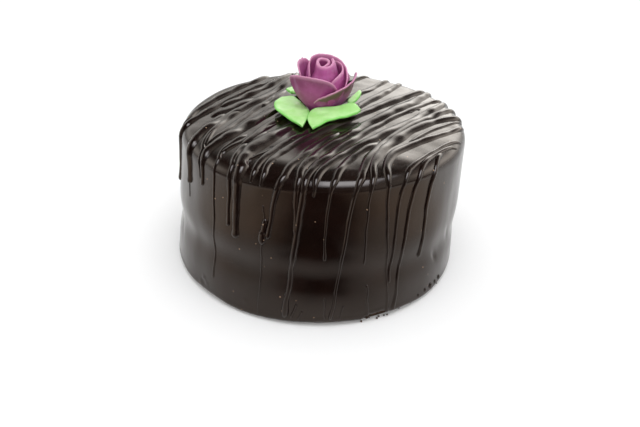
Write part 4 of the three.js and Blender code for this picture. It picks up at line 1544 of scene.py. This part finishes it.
# %% [markdown]
# ## The room that gloss sees
# The top of the cake mirrors what stands behind it: a bright backdrop low down, brightest on the right,
# that fades upwards to a dark ceiling. The camera's side of the room is dark. Soft walls on the left
# and the right give the glaze its pale flanks. Each range is a share of one direction, from -1 to 1.

# %% Backdrop and walls
WARM_WHITE = (1, 0.975, 0.93, 1)

backdrop_low = room.remap(upwards, (0.29, 0.42), (0.25, 0))
backdrop_high = room.remap(upwards, (0.40, 0.63), (1.5, 0.04))
brighter_right = room.remap(to_right, (-0.1, 0.24), (0.78, 3.0))
darker_foot = room.remap(upwards, (0.08, 0.29), (0.3, 1))
darker_corner = room.remap(to_right, (0.34, 0.66), (1, 0.5))
behind_cake = room.remap(to_back, (-0.45, 0.05), (0.03, 1.0))
backdrop = room.maths("ADD", backdrop_low, backdrop_high)
backdrop = room.product(backdrop, brighter_right, darker_foot, darker_corner, behind_cake)
left_wall = room.remap(to_right, (-0.95, -0.5), (0.45, 0))
right_wall = room.remap(to_right, (0.3, 0.85), (0, 0.7))
walls = room.maths("ADD", left_wall, right_wall)
room_glow = glow_of(WARM_WHITE, room.maths("ADD", backdrop, walls))
print("nodes of the room:", len(room.nodes))

# %% [markdown]
# ## The soft box that gloss sees
# One cool soft box overhead, a little to the front, draws the bright line along the front rim. Five
# ranges cut it out of the sky with soft edges. It has a light of its own, because it is bluer than the
# room.

# %% Soft box in the gloss
COOL_WHITE = (0.9, 1, 1.16, 1)
BOX_GLOW = 8

box_front = room.remap(to_back, (-0.82, -0.44), (0, 1))
box_back = room.remap(to_back, (-0.10, 0.0), (1, 0))
box_left = room.remap(to_right, (-0.14, 0), (0, 1))
box_right = room.remap(to_right, (0.35, 0.6), (BOX_GLOW, 0))
box_above = room.remap(upwards, (0.5, 0.6), (0, 1))
box_depth = room.product(box_front, box_back)
box_width = room.product(box_left, box_right)
box_glow = glow_of(COOL_WHITE, room.product(box_depth, box_width, box_above))
print("nodes of the room with its soft box:", len(room.nodes))

# %% [markdown]
# ## One world from both
# The room and its soft box are added together. A Light Path node tells which rays come from gloss, and
# a Mix Shader gives those the room and all others the even white. Colours are shown as they are,
# without the softer contrast that Blender would add.

# %% Join the two faces of the world
all_gloss = room.nodes.new("ShaderNodeAddShader")
choose = room.nodes.new("ShaderNodeMixShader")
ray = room.nodes.new("ShaderNodeLightPath")
room.links.new(room_glow, all_gloss.inputs[0])
room.links.new(box_glow, all_gloss.inputs[1])
room.links.new(ray.outputs["Is Glossy Ray"], choose.inputs["Fac"])
room.links.new(pale.outputs["Background"], choose.inputs[1])
room.links.new(all_gloss.outputs["Shader"], choose.inputs[2])
room.links.new(choose.outputs["Shader"], room.nodes["World Output"].inputs["Surface"])
bpy.context.scene.view_settings.view_transform = "Standard"
print("view transform:", bpy.context.scene.view_settings.view_transform)
